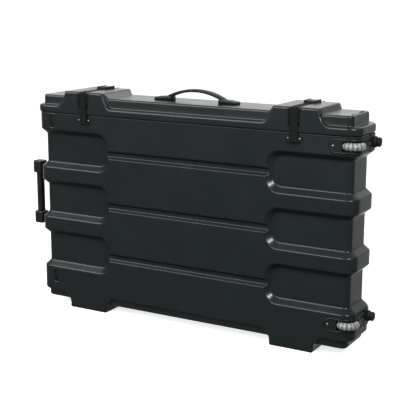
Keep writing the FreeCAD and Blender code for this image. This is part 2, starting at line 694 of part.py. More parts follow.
def tube(name, start_x, outer, inner, length, z):
    outside = rod(name + "Outer", (start_x, "0", z), outer, length, "X")
    bore = rod(name + "Bore", (f"{start_x} - 1", "0", z), inner, f"{length} + 2", "X")
    return cut(name, outside, bore)


for end in ENDS:
    z = LEVELS[end]
    bezel = rod("BezelDisc" + end, ("-case_length / 2 - bezel_thick", "0", z), "bezel_radius",
                "bezel_thick", "X")
    sleeve = rod("SleeveRod" + end, ("-case_length / 2", "0", z), f"{sleeve_bore} + sleeve_wall",
                 "case_length / 2 - sleeve_end", "X")
    bore = rod("SleeveBore" + end, ("-case_length / 2 - 2 * bezel_thick", "0", z), sleeve_bore,
               "case_length / 2 - sleeve_end + 2 * bezel_thick - 2", "X")
    subpart(cut("Sleeve" + end, fuse("SleeveBlank" + end, [bezel, sleeve]), bore),
            f"tow_sleeve_{end}")

stage_start = "-case_length / 2 - bezel_thick - 3"
stage_long = "case_length / 2 + bezel_thick + 3 - sleeve_end - 4"
grip_start = "-tow_reach + tow_spread + 6"
stages = [
    tube("Stage" + end, stage_start, "tube_outer", "tube_inner + tube_clear", stage_long, LEVELS[end])
    for end in ENDS
]
subpart(group("StageTubes", stages), "tow_middle_tubes")
inner_tubes = [
    tube("GripTube" + end, grip_start, "tube_inner", "tube_inner - tube_wall",
         "tow_reach - tow_spread - 6 - sleeve_end - 8", LEVELS[end])
    for end in ENDS
]
subpart(group("GripTubes", inner_tubes), "tow_grip_tubes")
for end in ENDS:
    z = LEVELS[end]
    way = "+ tow_spread" if end == "upper" else "- tow_spread"
    blank = box("TowBlockBlank" + end,
                ("-tow_reach", "-tow_block_wide / 2", f"{z} {way} - tow_block_tall / 2"),
                ("tow_block_wide", "tow_block_wide", "tow_block_tall"))
    soft = doc.addObject("Part::Fillet", "TowBlockSoft" + end)
    soft.Base = blank
    doc.recompute()
    soft.Edges = [(i + 1, 6, 6) for i in range(len(blank.Shape.Edges))]
    socket = rod("TowBlockSocket" + end, (grip_start, "0", z), "tube_inner", "tow_block_wide", "X")
    bar_seat = rod("TowBarSeat" + end, ("-tow_reach + tow_block_wide / 2", "0", "tow_low + 8"),
                   "grip_radius - 3", "tow_high - tow_low - 16")
    subpart(cut("TowBlock" + end, cut("TowBlockCut" + end, soft, socket), bar_seat),
            f"tow_block_{end}")
grip_low = "tow_low + tow_block_tall / 2 - tow_spread"
grip_long = "tow_high - tow_low - tow_block_tall + 2 * tow_spread"
pin = rod("TowBarCore", ("-tow_reach + tow_block_wide / 2", "0", "tow_low + 8"), "grip_radius - 3",
          "tow_high - tow_low - 16")
sheath = rod("TowBarSheath", ("-tow_reach + tow_block_wide / 2", "0", grip_low), "grip_radius",
             grip_long)
subpart(fuse("TowBar", [pin, sheath]), "tow_grip_bar")

# ---------------------------------------------------------------- straps, anchors, cam buckles
face = "case_depth / 2"
strap_in = f"{face} + lid_proud + strap_gap"
strap_out = f"{strap_in} + strap_thick"
deck_z = "block_top - channel_deep"
bar_y = f"{face} + 3.5"
bar_z = "strap_low + 4"
SIDES = {"left": -1, "right": 1}


def strap_box(name, low_y, high_y, low_z, high_z, half="strap_wide / 2"):
    """A box centred on a strap, given by its faces."""
    return box(name, (f"-{half}", low_y, low_z),
               (f"2 * {half}", f"{high_y} - ({low_y})", f"{high_z} - ({low_z})"))


def strap_lower(side):
    """The webbing between an anchor and the lid, front and rear, each folded round its bar."""
    runs = []
    for name, way in (("Front", -1), ("Rear", 1)):
        edges = [f"{way} * ({strap_in})", f"{way} * ({strap_out})"][::way]
        fold_edges = [f"{way} * ({face} + 0.8)", f"{way} * ({strap_out})"][::way]
        run = strap_box(f"StrapRun{name}{side}", *edges, "strap_low", "parting - strap_gap")
        fold = strap_box(f"StrapFold{name}{side}", *fold_edges, "strap_low", f"{bar_z} + 3.4")
        eye = rod(f"StrapEye{name}{side}", ("-strap_wide", f"{way} * ({bar_y})", bar_z),
                  "loop_bar + 0.3", "2 * strap_wide", "X")
        runs.append(cut(f"StrapLower{name}{side}", fuse(f"StrapBlank{name}{side}", [run, fold]), eye))
    subpart(group("StrapLower" + side, runs), f"strap_lower_{side}", f"{SIDES[side]} * strap_x")


def strap_upper(side):
    """The webbing that runs up the lid's front, over the block and down its rear."""
    outer = strap_box("StrapOver" + side, f"-({strap_out})", f"{strap_out}",
                      "parting + strap_gap", f"{deck_z} + strap_gap + strap_thick")
    inner = strap_box("StrapUnder" + side, f"-({strap_in})", f"{strap_in}", "parting",
                      f"{deck_z} + strap_gap", "strap_wide")
    subpart(cut("StrapUpper" + side, outer, inner), f"strap_upper_{side}", f"{SIDES[side]} * strap_x")


def strap_anchors(side):
    """A screwed plate with a bar for the webbing's fold, at the front and the rear."""
    pieces = []
    for name, way in (("Front", -1), ("Rear", 1)):
        plate_y = [f"{way} * {face}", f"{way} * ({face} + anchor_thick)"][::way]
        arm_y = [f"{way} * {face}", f"{way} * ({bar_y} + loop_bar + 0.5)"][::way]
        plate = strap_box(f"AnchorPlate{name}{side}", *plate_y, "anchor_mid - anchor_tall / 2",
                          "anchor_mid + anchor_tall / 2", "anchor_wide / 2")
        arms = []
        for arm, low_x in (("A", "-strap_wide / 2 - 4"), ("B", "strap_wide / 2 + 1")):
            arms.append(box(f"AnchorArm{arm}{name}{side}", (low_x, arm_y[0], f"{bar_z} - 3"),
                            ("3", f"{arm_y[1]} - ({arm_y[0]})", f"anchor_mid - ({bar_z}) - 2")))
        bar = rod(f"AnchorBar{name}{side}", ("-strap_wide / 2 - 3", f"{way} * ({bar_y})", bar_z),
                  "loop_bar", "strap_wide + 6", "X")
        blank = fuse(f"AnchorBlank{name}{side}", [plate, bar] + arms)
        holes = [
            rod(f"AnchorHole{i}{name}{side}", (f"{i} * anchor_screws", f"-2 * {face}", "anchor_mid"),
                "screw_radius + screw_clear", f"4 * {face}", "Y")
            for i in (-1, 1)
        ]
        pieces.append(cut(f"Anchor{name}{side}", blank, fuse(f"AnchorHoles{name}{side}", holes)))
    subpart(group("Anchors" + side, pieces), f"strap_anchors_{side}", f"{SIDES[side]} * strap_x")


def cam_buckle(side):
    """The buckle's frame on the lid, its pin, and the cam lever that clamps the webbing."""
    half = "buckle_wide / 2"
    low = "block_top"
    high = "block_top + buckle_high"
    start, stop = "buckle_y - buckle_long / 2", "buckle_y + buckle_long / 2"
    walls = [
        box(f"BuckleWall{i}{side}", (x, start, low), ("buckle_side", "buckle_long", "buckle_high"))
        for i, x in enumerate((f"-{half}", f"{half} - buckle_side"))
    ]
    bars = [
        box(f"BuckleBar{i}{side}", (f"-{half}", y, low), ("buckle_wide", "4", "3"))
        for i, y in enumerate((start, f"{stop} - 4"))
    ]
    pin_spot = (f"-{half} - 0.5", f"{start} + 10", f"{low} + 5")
    pin_hole = rod("BucklePinHole" + side, pin_spot, "lever_pin + 0.02", "buckle_wide + 1", "X")
    frame = cut("Buckle" + side, fuse("BuckleBlank" + side, walls + bars), pin_hole)
    subpart(frame, f"buckle_frame_{side}", f"{SIDES[side]} * strap_x")
    pin = rod("BucklePin" + side, ("0", "0", "0"), "lever_pin", "buckle_wide + 1", "X")
    subpart(pin, f"buckle_pin_{side}", f"{SIDES[side]} * strap_x - {half} - 0.5", *pin_spot[1:])
    lever_half = f"({half} - buckle_side - 0.5)"
    barrel = rod("LeverBarrel" + side, (f"-{lever_half}", *pin_spot[1:]), "4",
                 f"2 * {lever_half}", "X")
    plate = box("LeverPlate" + side, (f"-{lever_half}", f"{start} + 10", f"{low} + 4.5"),
                (f"2 * {lever_half}", "buckle_long - 17", "lever_thick"))
    tip = rod("LeverTip" + side, (f"-{lever_half}", f"{stop} - 7", f"{low} + 6"),
              "lever_thick / 2", f"2 * {lever_half}", "X")
    eye = rod("LeverEye" + side, (f"-{half}", *pin_spot[1:]), "lever_pin + running_fit",
              "buckle_wide", "X")
    lever = cut("Lever" + side, fuse("LeverBlank" + side, [barrel, plate, tip]), eye)
    subpart(lever, f"buckle_lever_{side}", f"{SIDES[side]} * strap_x")


anchor_screws = []
for side, way in SIDES.items():
    strap_lower(side)
    strap_upper(side)
    strap_anchors(side)
    cam_buckle(side)
    for face_way in (-1, 1):
        for i in (-1, 1):
            point = vec(way * D.strap_x + i * D.anchor_screws,
                        face_way * (half_depth + D.anchor_thick), D.anchor_mid)
            axis = Y_AXIS * -face_way
            anchor_screws.append(screw(point, axis, D.anchor_thick + D.wall + 3))
            base_holes.append((point, axis))
subpart(feature("AnchorScrews", Part.makeCompound(anchor_screws)), "strap_anchor_screws")

# ---------------------------------------------------------------- carry handle on the lid
handle_inner = D.handle_half - D.cap_long
grip_end = handle_inner + D.cap_long / 3


def arched_strap(wide):
    """The handle's strap, of a width: its side view is two arcs a thickness apart."""
    front = -wide / 2
    feet = D.lid_top + 3
    corners = [vec(x, front, z) for x, z in (
        (-grip_end, feet), (grip_end, feet),
        (grip_end, feet + D.grip_thick), (-grip_end, feet + D.grip_thick),
    )]
    low = Part.Arc(corners[0], vec(0, front, D.grip_peak - D.grip_thick), corners[1])
    high = Part.Arc(corners[3], vec(0, front, D.grip_peak), corners[2])
    side_view = Part.Wire([
        low.toShape(), Part.LineSegment(corners[1], corners[2]).toShape(),
        high.toShape(), Part.LineSegment(corners[3], corners[0]).toShape(),
    ])
    return Part.Face(side_view).extrude(vec(0, wide, 0))


grip = arched_strap(D.grip_wide)
subpart(feature("CarryGrip", grip), "carry_handle_grip")
cap_screws = []
lid_holes = []
plates = []
for side, way in SIDES.items():
    low_x = min(way * handle_inner, way * D.handle_half)
    cap = Part.makeBox(D.cap_long, D.cap_wide, D.cap_tall, vec(low_x, -D.cap_wide / 2, D.lid_top))
    cap = cap.makeFillet(5, [e for e in cap.Edges if e.BoundBox.ZMax > D.lid_top + 1])
    cap = cap.cut(arched_strap(D.grip_wide + 0.4))
    plate = Part.makeBox(D.cap_long, D.cap_wide, D.backing_thick,
                         vec(low_x, -D.cap_wide / 2, D.lid_top - D.wall - D.backing_thick))
    for screw_x in (D.handle_half - 12, D.handle_half - D.cap_long * 0.55):
        point = vec(way * screw_x, 0, D.lid_top + 5)
        well = Part.makeCylinder(D.screw_head + 1, D.cap_tall, point)
        hole = Part.makeCylinder(SCREW_HOLE, 40, point - Z_AXIS * 20)
        cap = cap.cut([well, hole])
        plate = plate.cut(hole)
        cap_screws.append(screw(point, -Z_AXIS, 5 + D.wall + D.backing_thick + 2))
        lid_holes.append((point, -Z_AXIS))
    subpart(feature("CarryCap" + side, cap), f"carry_handle_cap_{side}")
    plates.append(plate)
subpart(feature("CarryPlates", Part.makeCompound(plates)), "carry_handle_backing_plates")
subpart(feature("CarryScrews", Part.makeCompound(cap_screws)), "carry_handle_screws")

# ---------------------------------------------------------------- base shell
base = base_solid(0, D.parting).cut(base_solid(D.wall, D.parting + 1))
for wheel_z in (D.wheel_low, D.wheel_high):
    base = base.cut(wheel_seat(wheel_z, D.seat_clear))
tow_hole = D.tube_outer + D.tube_clear + D.sleeve_wall + D.seat_clear
for tube_z in (D.tow_low, D.tow_high):
    base = base.cut(Part.makeCylinder(
        tow_hole, 2 * D.pocket_depth, vec(-half_length - 1, 0, tube_z), X_AXIS
    ))
for slot_z in (D.slot_low, D.slot_high):
    base = base.cut(Part.makeBox(
        D.slot_width, D.slot_deep, D.slot_tall,
        vec(-D.slot_place - D.slot_width / 2, -half_depth, slot_z - D.slot_tall / 2),
    ))
for point, axis in base_holes:
    base = base.cut(Part.makeCylinder(SCREW_HOLE, HOLE_LONG, point - axis, axis))
subpart(feature("BaseShell", base), "base_shell")

# ---------------------------------------------------------------- lid shell, tongue and gasket
lid_low = D.parting + D.lid_gap
web_low = lid_low + D.gasket_thick
web_thick = D.tongue_wall
lid = lid_solid(0, lid_low).cut(lid_solid(D.wall, lid_low - 1))
mouth = (half_length - D.wall, half_depth - D.wall, D.corner - D.wall)
tongue = [size - D.tongue_clear for size in mouth]
inside = [size - D.tongue_wall for size in tongue]
web_out = [size + D.wall + 1 for size in mouth]
web = slab(*web_out, web_low, web_low + web_thick).cut(slab(*inside, web_low - 1, web_low + 2 * web_thick))
lip = slab(*tongue, D.parting - D.tongue_depth, web_low + web_thick)
lip = lip.cut(slab(*inside, D.parting - 2 * D.tongue_depth, web_low + 2 * web_thick))
lid = lid.multiFuse([web, lip])
deck = D.block_top - D.channel_deep
for side in (-1, 1):
    lid = lid.cut(Part.makeBox(
        D.channel_wide, 4 * half_depth, D.wall,
        vec(side * D.strap_x - D.channel_wide / 2, -2 * half_depth, deck),
    ))
for point, axis in lid_holes:
    lid = lid.cut(Part.makeCylinder(SCREW_HOLE, HOLE_LONG, point - axis, axis))
subpart(feature("LidShell", lid), "lid_shell")
gasket_out = [size + D.wall - D.lid_gap - 1 for size in mouth]
gasket = slab(*gasket_out, lid_low, web_low)
gasket = gasket.cut(slab(*mouth, lid_low - 1, web_low + 1))
subpart(feature("LidGasket", gasket), "lid_gasket")


# ---------------------------------------------------------------- checks and files
doc.recompute()
for thing in doc.Objects:
    if {"Invalid", "Error"} & set(thing.State):
        raise RuntimeError(f"{thing.Name} failed: {thing.State}")
for made in SUBPARTS:
    if made.Shape.isNull() or not made.Shape.isValid() or not made.Shape.Solids:
        raise RuntimeError(f"{made.Label} has no valid solid")
os.makedirs("parts", exist_ok=True)
for made in SUBPARTS:
    made.Shape.exportStep(f"parts/{made.Label}.step")
print(len(SUBPARTS), "sub-parts written")
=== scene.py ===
"""Slim moulded transport case on two corner wheels, dressed for a studio view.

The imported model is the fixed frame. Everything here is in metres, in that frame: +Z up, the front
faces -Y and the wheeled end is +X. Shapes are worked out about the middle of the case.
"""

import math

import bmesh
import bpy
import numpy as np
from mathutils import Matrix, Vector


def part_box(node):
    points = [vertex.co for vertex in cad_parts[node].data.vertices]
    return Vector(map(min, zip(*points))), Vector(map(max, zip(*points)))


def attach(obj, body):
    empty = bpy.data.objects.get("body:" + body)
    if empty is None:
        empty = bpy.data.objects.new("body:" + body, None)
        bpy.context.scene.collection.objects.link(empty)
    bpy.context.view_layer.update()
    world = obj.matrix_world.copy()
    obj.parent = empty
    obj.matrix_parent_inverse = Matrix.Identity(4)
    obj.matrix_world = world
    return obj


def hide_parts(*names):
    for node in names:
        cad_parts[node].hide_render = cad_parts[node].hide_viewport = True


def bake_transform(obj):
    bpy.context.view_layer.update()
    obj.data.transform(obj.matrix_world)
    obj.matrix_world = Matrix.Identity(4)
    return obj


bl_info = {
    "name": "Transport case dresser",
    "version": (1, 0, 0),
    "blender": (4, 5, 0),
    "location": "3D View > Sidebar > Case",
    "description": "Builds the visible shells, straps, linings and fittings of a moulded transport case",
    "category": "Object",
}

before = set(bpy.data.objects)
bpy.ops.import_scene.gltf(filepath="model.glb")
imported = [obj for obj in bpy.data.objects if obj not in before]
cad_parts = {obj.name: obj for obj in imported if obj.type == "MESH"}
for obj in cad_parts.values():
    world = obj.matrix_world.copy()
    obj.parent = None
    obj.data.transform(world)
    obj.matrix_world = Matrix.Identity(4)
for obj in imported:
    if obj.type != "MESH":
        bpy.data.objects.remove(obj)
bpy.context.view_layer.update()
MM = 0.001

BASE_LOW, BASE_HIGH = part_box("base_shell")
LID_LOW, LID_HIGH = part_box("lid_shell")
MIDDLE = (BASE_LOW.x + BASE_HIGH.x) / 2
HALF_LENGTH = (BASE_HIGH.x - BASE_LOW.x) / 2
HALF_DEPTH = (BASE_HIGH.y - BASE_LOW.y) / 2
RIM = BASE_HIGH.z
LID_HALF_LENGTH = (LID_HIGH.x - LID_LOW.x) / 2
LID_HALF_DEPTH = (LID_HIGH.y - LID_LOW.y) / 2
BLOCK_TOP = LID_HIGH.z


def centre_of(node):
    low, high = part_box(node)
    return (low + high) / 2


# ------------------------------------------------------------------ sizes and colours


def mm_property(name, about, default):
    """A length that can be set, given in millimetres."""
    return bpy.props.FloatProperty(name=name, description=about, default=default * MM, unit="LENGTH")


def angle_property(name, about, default):
    """An angle that can be set, given in degrees."""
    return bpy.props.FloatProperty(
        name=name, description=about, default=math.radians(default), subtype="ANGLE", unit="ROTATION")


def colour_property(name, about, default):
    return bpy.props.FloatVectorProperty(
        name=name, description=about, subtype="COLOR", size=3, min=0, max=1, default=default)


class CaseShell(bpy.types.PropertyGroup):
    """Sizes of the two moulded shells."""

    corner: mm_property("Corner radius", "Radius of the upright corners", 40)
    wall: mm_property("Wall", "Thickness of the moulded walls", 4.5)
    pocket_depth: mm_property("Pocket depth", "Depth of the end pockets", 20)
    pocket_inner: mm_property("Pocket start", "Inner end of the pockets, from the middle", 301)
    pocket_round: mm_property("Pocket corner", "Radius of the pockets' inner corners", 48)
    pocket_run: mm_property("Pocket wall run", "Run of the pockets' sloping walls", 18)
    pocket_height: mm_property("Pocket height", "Height of a pocket at the face", 137)
    pocket_first: mm_property("First pocket", "Lower edge of the lowest pocket", 142)
    pocket_pitch: mm_property("Pocket pitch", "Pitch of the pockets", 182.5)
    groove_width: mm_property("Groove width", "Width of the joining grooves", 31)
    groove_floor: mm_property("Groove floor", "Width of a groove's floor", 13)
    groove_depth: mm_property("Groove depth", "Depth of a groove", 11)
    groove_lift: mm_property("Groove lift", "Groove's middle above its pocket's middle", -3)
    edge_blend: mm_property("Edge softness", "How soft the moulded edges are", 2.6)
    band_bottom: mm_property("Band bottom", "Underside of the bottom band", 55)
    keel_bottom: mm_property("Keel bottom", "Underside of the keel", 29)
    keel_side: mm_property("Keel side step", "Step from band to keel at front and rear", 9)
    keel_end: mm_property("Keel end step", "Step from band to keel at the ends", 20)
    block_inner: mm_property("Block inner side", "Inner side of a foot or stacking block", 321)
    block_outer: mm_property("Block outer side", "Outer side of a foot or stacking block", 477)
    block_root: mm_property("Block root", "How far a block's root spreads", 27)
    flange_low: mm_property("Flange underside", "Lower edge of the lid's flange", 703.6)
    flange_top: mm_property("Flange top", "Height of the lid's flange", 731)
    panel_top: mm_property("Lid panels", "Height of the lid's low panels", 765)
    panel_side: mm_property("Side step", "Step from flange to panel at front and rear", 13)
    panel_end: mm_property("End step", "Step from flange to panel at the ends", 26)
    grip_thick: mm_property("Grip thickness", "Thickness of the carry grip", 10)


class CaseFinish(bpy.types.PropertyGroup):
    """Colours of the case's materials."""

    shell: colour_property("Shell", "Moulded plastic", (0.0100, 0.0146, 0.0158))
    fitting: colour_property("Fittings", "Black plastic fittings", (0.0105, 0.0125, 0.0130))
    webbing: colour_property("Webbing", "Strap webbing", (0.0150, 0.0158, 0.0162))
    wheel: colour_property("Wheel", "Wheel tyre", (0.40, 0.42, 0.43))
    foam: colour_property("Foam", "Lining foam", (0.020, 0.020, 0.021))


class CaseStage(bpy.types.PropertyGroup):
    """Camera's lens and direction."""

    lens: bpy.props.FloatProperty(
        name="Lens", description="Focal length", default=88.33, unit="CAMERA")
    azimuth: angle_property("Azimuth", "Camera's turn about the case", 29.52)
    dip: angle_property("Dip", "How far the camera looks down", 12.64)


# ------------------------------------------------------------------ meshes


def soft_max(a, b, blend):
    """The larger of two values, with the corner where they cross rounded off."""
    gap = np.maximum(blend - np.abs(a - b), 0)
    return np.maximum(a, b) + gap * gap / (4 * blend)


def soft_ramp(inside, slope, depth, blend):
    """Depth of a sloping wall, by the distance inside its edge."""
    rise = soft_max(inside * slope, 0, blend)
    return -soft_max(-rise, -depth, blend)


def rounded_path(corners, steps=6):
    """Points along straight runs joined by arcs; each corner is (x, z, radius)."""
    path = []
    spots = [np.array(c[:2], float) for c in corners]
    for i, corner in enumerate(corners):
        here, radius = spots[i], corner[2]
        if radius == 0 or i in (0, len(corners) - 1):
            path.append(here)
            continue
        back = spots[i - 1] - here
        ahead = spots[i + 1] - here
        runs = np.linalg.norm(back), np.linalg.norm(ahead)
        back, ahead = back / runs[0], ahead / runs[1]
        half = math.acos(max(-1, min(1, float(back @ ahead)))) / 2
        reach = min(radius / math.tan(half), 0.49 * runs[0], 0.49 * runs[1])
        radius = reach * math.tan(half)
        centre = here + (back + ahead) / np.linalg.norm(back + ahead) * radius / math.sin(half)
        first, last = here + back * reach - centre, here + ahead * reach - centre
        turn = math.pi - 2 * half
        for step in range(steps + 1):
            share = step / steps
            a = math.sin((1 - share) * turn) / math.sin(turn)
            b = math.sin(share * turn) / math.sin(turn)
            path.append(centre + a * first + b * last)
    return np.array(path)


def finish_mesh(name, body, finish, replaced=(), smooth=True):
    """Gives a made piece its finish and body, and hides the nodes that it stands for."""
    piece = bpy.data.objects[name]
    piece.data.materials.clear()
    piece.data.materials.append(MATERIALS[finish])
    for face in piece.data.polygons:
        face.use_smooth = smooth
    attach(piece, body)
    if replaced:
        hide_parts(*replaced)
    return piece


def new_object(name, data):
    made = bpy.data.objects.new(name, data)
    bpy.context.scene.collection.objects.link(made)
    return made


def from_bmesh(name, bm):
    mesh = bpy.data.meshes.new(name)
    bm.to_mesh(mesh)
    bm.free()
    return new_object(name, mesh)


def bake_modifiers(piece):
    """Turns a piece's live modifiers into its mesh."""
    graph = bpy.context.evaluated_depsgraph_get()
    graph.update()
    mesh = bpy.data.meshes.new_from_object(piece.evaluated_get(graph))
    old = piece.data
    piece.modifiers.clear()
    piece.data = mesh
    bpy.data.meshes.remove(old)
    return piece


def bake_even(piece):
    """Smooths a piece, with normals that follow its large faces, and bakes its modifiers."""
    even = piece.modifiers.new("Even normals", "WEIGHTED_NORMAL")
    even.keep_sharp = False
    for face in piece.data.polygons:
        face.use_smooth = True
    bake_modifiers(piece)


def thicken(piece, wall):
    """Gives a moulded skin its wall, inwards."""
    solid = piece.modifiers.new("Wall", "SOLIDIFY")
    solid.thickness = wall
    solid.offset = -1
    bake_even(piece)


class HalfRim:
    """The front half of a rounded rectangle, from the middle of its left end to its right end's.

    spots are the points, outward the outward normals, and along is x on the straight front; past
    it, on the corners and the ends, along is a value beyond the front's end.
    """

    def __init__(self, half_x, half_y, corner, front, arc_steps=9, end_steps=3):
        spots, outward, along = [], [], []
        straight = half_x - corner
        beyond = half_x + corner
        for side in (-1, 1):
            part = []
            for i in range(end_steps):
                share = i / end_steps
                part.append(((side * half_x, -(half_y - corner) * share), (side, 0), side * beyond))
            for i in range(arc_steps + 1):
                turn = math.pi / 2 * i / arc_steps
                normal = (side * math.cos(turn), -math.sin(turn))
                centre = (side * straight, -(half_y - corner))
                spot = (centre[0] + corner * normal[0], centre[1] + corner * normal[1])
                far = beyond if i < arc_steps else straight
                part.append((spot, normal, side * far))
            if side == -1:
                part += [((x, -half_y), (0, -1), x) for x in front if abs(x) < straight - MM / 2]
            else:
                part.reverse()
            for spot, normal, place in part:
                spots.append(spot)
                outward.append(normal)
                along.append(place)
        self.spots = np.array(spots, float)
        self.outward = np.array(outward, float)
        self.along = np.array(along, float)

    def row(self, inset, height, shift=0.0):
        """A row of points an inset inside the rim; shift moves them along the front."""
        flat = self.spots - self.outward * np.reshape(inset, (-1, 1))
        made = np.zeros((len(flat), 3))
        made[:, :2] = flat
        made[:, 0] += shift * (self.outward[:, 0] == 0)
        made[:, 2] = height
        return made


def sheet_faces(bm, grid, flip, skip=None):
    rows = [[bm.verts.new(p) for p in row] for row in grid]
    for k in range(len(rows) - 1):
        for i in range(len(rows[0]) - 1):
            if skip is not None and skip(grid[k][i], grid[k + 1][i + 1]):
                continue
            quad = [rows[k][i], rows[k + 1][i], rows[k + 1][i + 1], rows[k][i + 1]]
            bm.faces.new(quad[::-1] if flip else quad)
    return rows


MIRROR = np.array([1, -1, 1])


def both_sides(bm, front, rear, downward, skip=None):
    """Adds a front and a rear half, as rows of points, and closes their last rows across."""
    near = sheet_faces(bm, front, not downward, skip)
    far = sheet_faces(bm, [row * MIRROR for row in rear], downward)
    for i in range(len(near[-1]) - 1):
        quad = [near[-1][i], far[-1][i], far[-1][i + 1], near[-1][i + 1]]
        bm.faces.new(quad if downward else quad[::-1])
    bmesh.ops.remove_doubles(bm, verts=bm.verts, dist=1e-6)


def shell_mesh(name, front, rear, downward, skip=None):
    bm = bmesh.new()
    both_sides(bm, front, rear, downward, skip)
    bmesh.ops.dissolve_degenerate(bm, dist=1e-7, edges=bm.edges)
    bmesh.ops.translate(bm, verts=bm.verts, vec=(MIDDLE, 0, 0))
    return from_bmesh(name, bm)


def tube_faces(bm, rings, looped=False):
    """Joins rings of points; the ends are closed unless the rings run in a loop."""
    for a, b in zip(rings, rings[1:] + (rings[:1] if looped else [])):
        for k in range(len(a)):
            j = (k + 1) % len(a)
            bm.faces.new([a[k], a[j], b[j], b[k]])
    if not looped:
        bm.faces.new(rings[0][::-1])
        bm.faces.new(rings[-1])
    bmesh.ops.recalc_face_normals(bm, faces=bm.faces)


def quarter(radius, steps):
    """A quarter round as pairs: what is left of its rise, and how far it has turned in."""
    turns = [math.pi / 2 * i / steps for i in range(steps + 1)]
    return [(radius * (1 - math.sin(turn)), radius * (1 - math.cos(turn))) for turn in turns]


def outline_normals(along, heights, side):
    """Normals of a lower (-1) or upper (1) outline, away from the body, as (x, z) pairs."""
    pairs = []
    for i in range(len(along)):
        a, b = max(i - 1, 0), min(i + 1, len(along) - 1)
        run, rise = along[b] - along[a], heights[b] - heights[a]
        size = math.hypot(run, rise) or 1
        pairs.append((-side * rise / size, side * abs(run) / size) if run else (0, side))
    return np.array(pairs)


def edge_rows(rim, heights, side, radius, steps=5):
    """Rows that round an outline's edge over, from the face to the inset of a radius."""
    normals = outline_normals(rim.along, heights, side)
    normals[np.abs(rim.outward[:, 0]) > 1e-9] = (0, side)
    return [rim.row(inset, heights - normals[:, 1] * pull, -normals[:, 0] * pull)
            for pull, inset in quarter(radius, steps)]


def spread(low, high, step):
    count = max(1, math.ceil((high - low) / step))
    return [low + (high - low) * i / count for i in range(count + 1)]


def thinned(values, least):
    """Sorted values with near neighbours dropped."""
    kept = []
    for value in sorted(values):
        if not kept or value - kept[-1] >= least:
            kept.append(value)
    return kept


# ------------------------------------------------------------------ the base


def pocket_levels(size):
    return [size.pocket_first + i * size.pocket_pitch for i in range(3)]


SLOT_X = -538 * MM
SLOT_HALF = (8 * MM, 22 * MM)
SLOT_DEEP = 6 * MM
SLOT_LIP = 1.2 * MM


def slot_levels():
    return [centre_of(f"wheel_tyre_{end}").z for end in ("lower", "upper")]


def base_depth(size, along, height, front):
    """How far the base's wall lies inside the bands at a place along it and a height."""
    blend = size.edge_blend
    slope = size.pocket_depth / size.pocket_run
    depth = np.zeros_like(along)
    for low in pocket_levels(size):
        mid = low + size.pocket_height / 2
        qx = size.pocket_round - (np.abs(along) - size.pocket_inner)
        qz = abs(height - mid) - (size.pocket_height / 2 - size.pocket_round)
        outside = np.hypot(np.maximum(qx, 0), max(qz, 0)) + np.minimum(np.maximum(qx, qz), 0)
        pocket = soft_ramp(size.pocket_round - outside, slope, size.pocket_depth, blend)
        inside = size.groove_width / 2 - abs(height - mid - size.groove_lift)
        fall = size.groove_depth / ((size.groove_width - size.groove_floor) / 2)
        groove = soft_ramp(inside, fall, size.groove_depth, 0.6 * blend)
        depth = np.maximum(depth, soft_max(pocket, groove, 0.5 * blend))
    if front:
        for level in slot_levels():
            inside = np.minimum(
                SLOT_HALF[0] - np.abs(along - SLOT_X), SLOT_HALF[1] - abs(height - level))
            lip = np.maximum(1 - np.abs(inside + 2.5 * MM) / (3.5 * MM), 0)
            depth = depth + soft_ramp(inside, 2.0, SLOT_DEEP, 0.8 * MM) - SLOT_LIP * lip
    return depth


# Distances in millimetres from an edge where rows or columns of the base's mesh stand.
EDGE_MARKS = (-5, -3, -1.5, 0, 1.5, 3, 6, 9, 12, 15, 16.5, 18, 19.5, 21)
POCKET_ROWS = EDGE_MARKS + (23, 27, 31, 36, 42, 48)
POCKET_COLUMNS = EDGE_MARKS + (24, 28, 32, 37, 42, 48, 52)
GROOVE_ROWS = (0, 4, 5.3, 6, 6.7, 8, 10, 12, 14, 15, 15.8, 17, 20)
SLOT_ROWS = (12, 17.5, 18.4, 19.3, 20.2, 21, 22, 23.5, 25.5, 27)
SLOT_COLUMNS = (4.5, 5.4, 6.3, 7.2, 8, 9.5, 11.5, 13)


def both_ways(middle, marks):
    return [middle + way * t * MM for way in (-1, 1) for t in marks]


def base_heights(size, rim_round, join):
    """Heights of the base's rows: close together where the wall turns."""
    marks = [join, RIM - rim_round]
    for low in pocket_levels(size):
        high = low + size.pocket_height
        for edge, way in ((low, 1), (high, -1)):
            marks += [edge + way * t * MM for t in POCKET_ROWS]
        marks += both_ways((low + high) / 2 + size.groove_lift, GROOVE_ROWS)
    for level in slot_levels():
        marks += both_ways(level, SLOT_ROWS)
    return thinned(marks, 0.6 * MM)[::-1]


def mirrored_marks(marks):
    return sorted({-m for m in marks} | set(marks))


def foot_outline(size):
    """Underside of the base at the front face, for x from the middle outwards."""
    low, high, root = size.block_inner, size.block_outer, size.block_root
    band = size.band_bottom
    return rounded_path([
        (0, band, 0), (low - root, band, 14 * MM), (low - 0.5 * MM, band - root, 16 * MM),
        (low + 1.5 * MM, 0, 5 * MM), (high - 1.5 * MM, 0, 5 * MM),
        (high + 0.5 * MM, band - root, 26 * MM), (high + root, band, 22 * MM),
        (HALF_LENGTH - size.corner, band, 0),
    ])


SEAT_HALF = 19.2 * MM
SEAT_START = 545 * MM
SEAT_FACE = -14 * MM


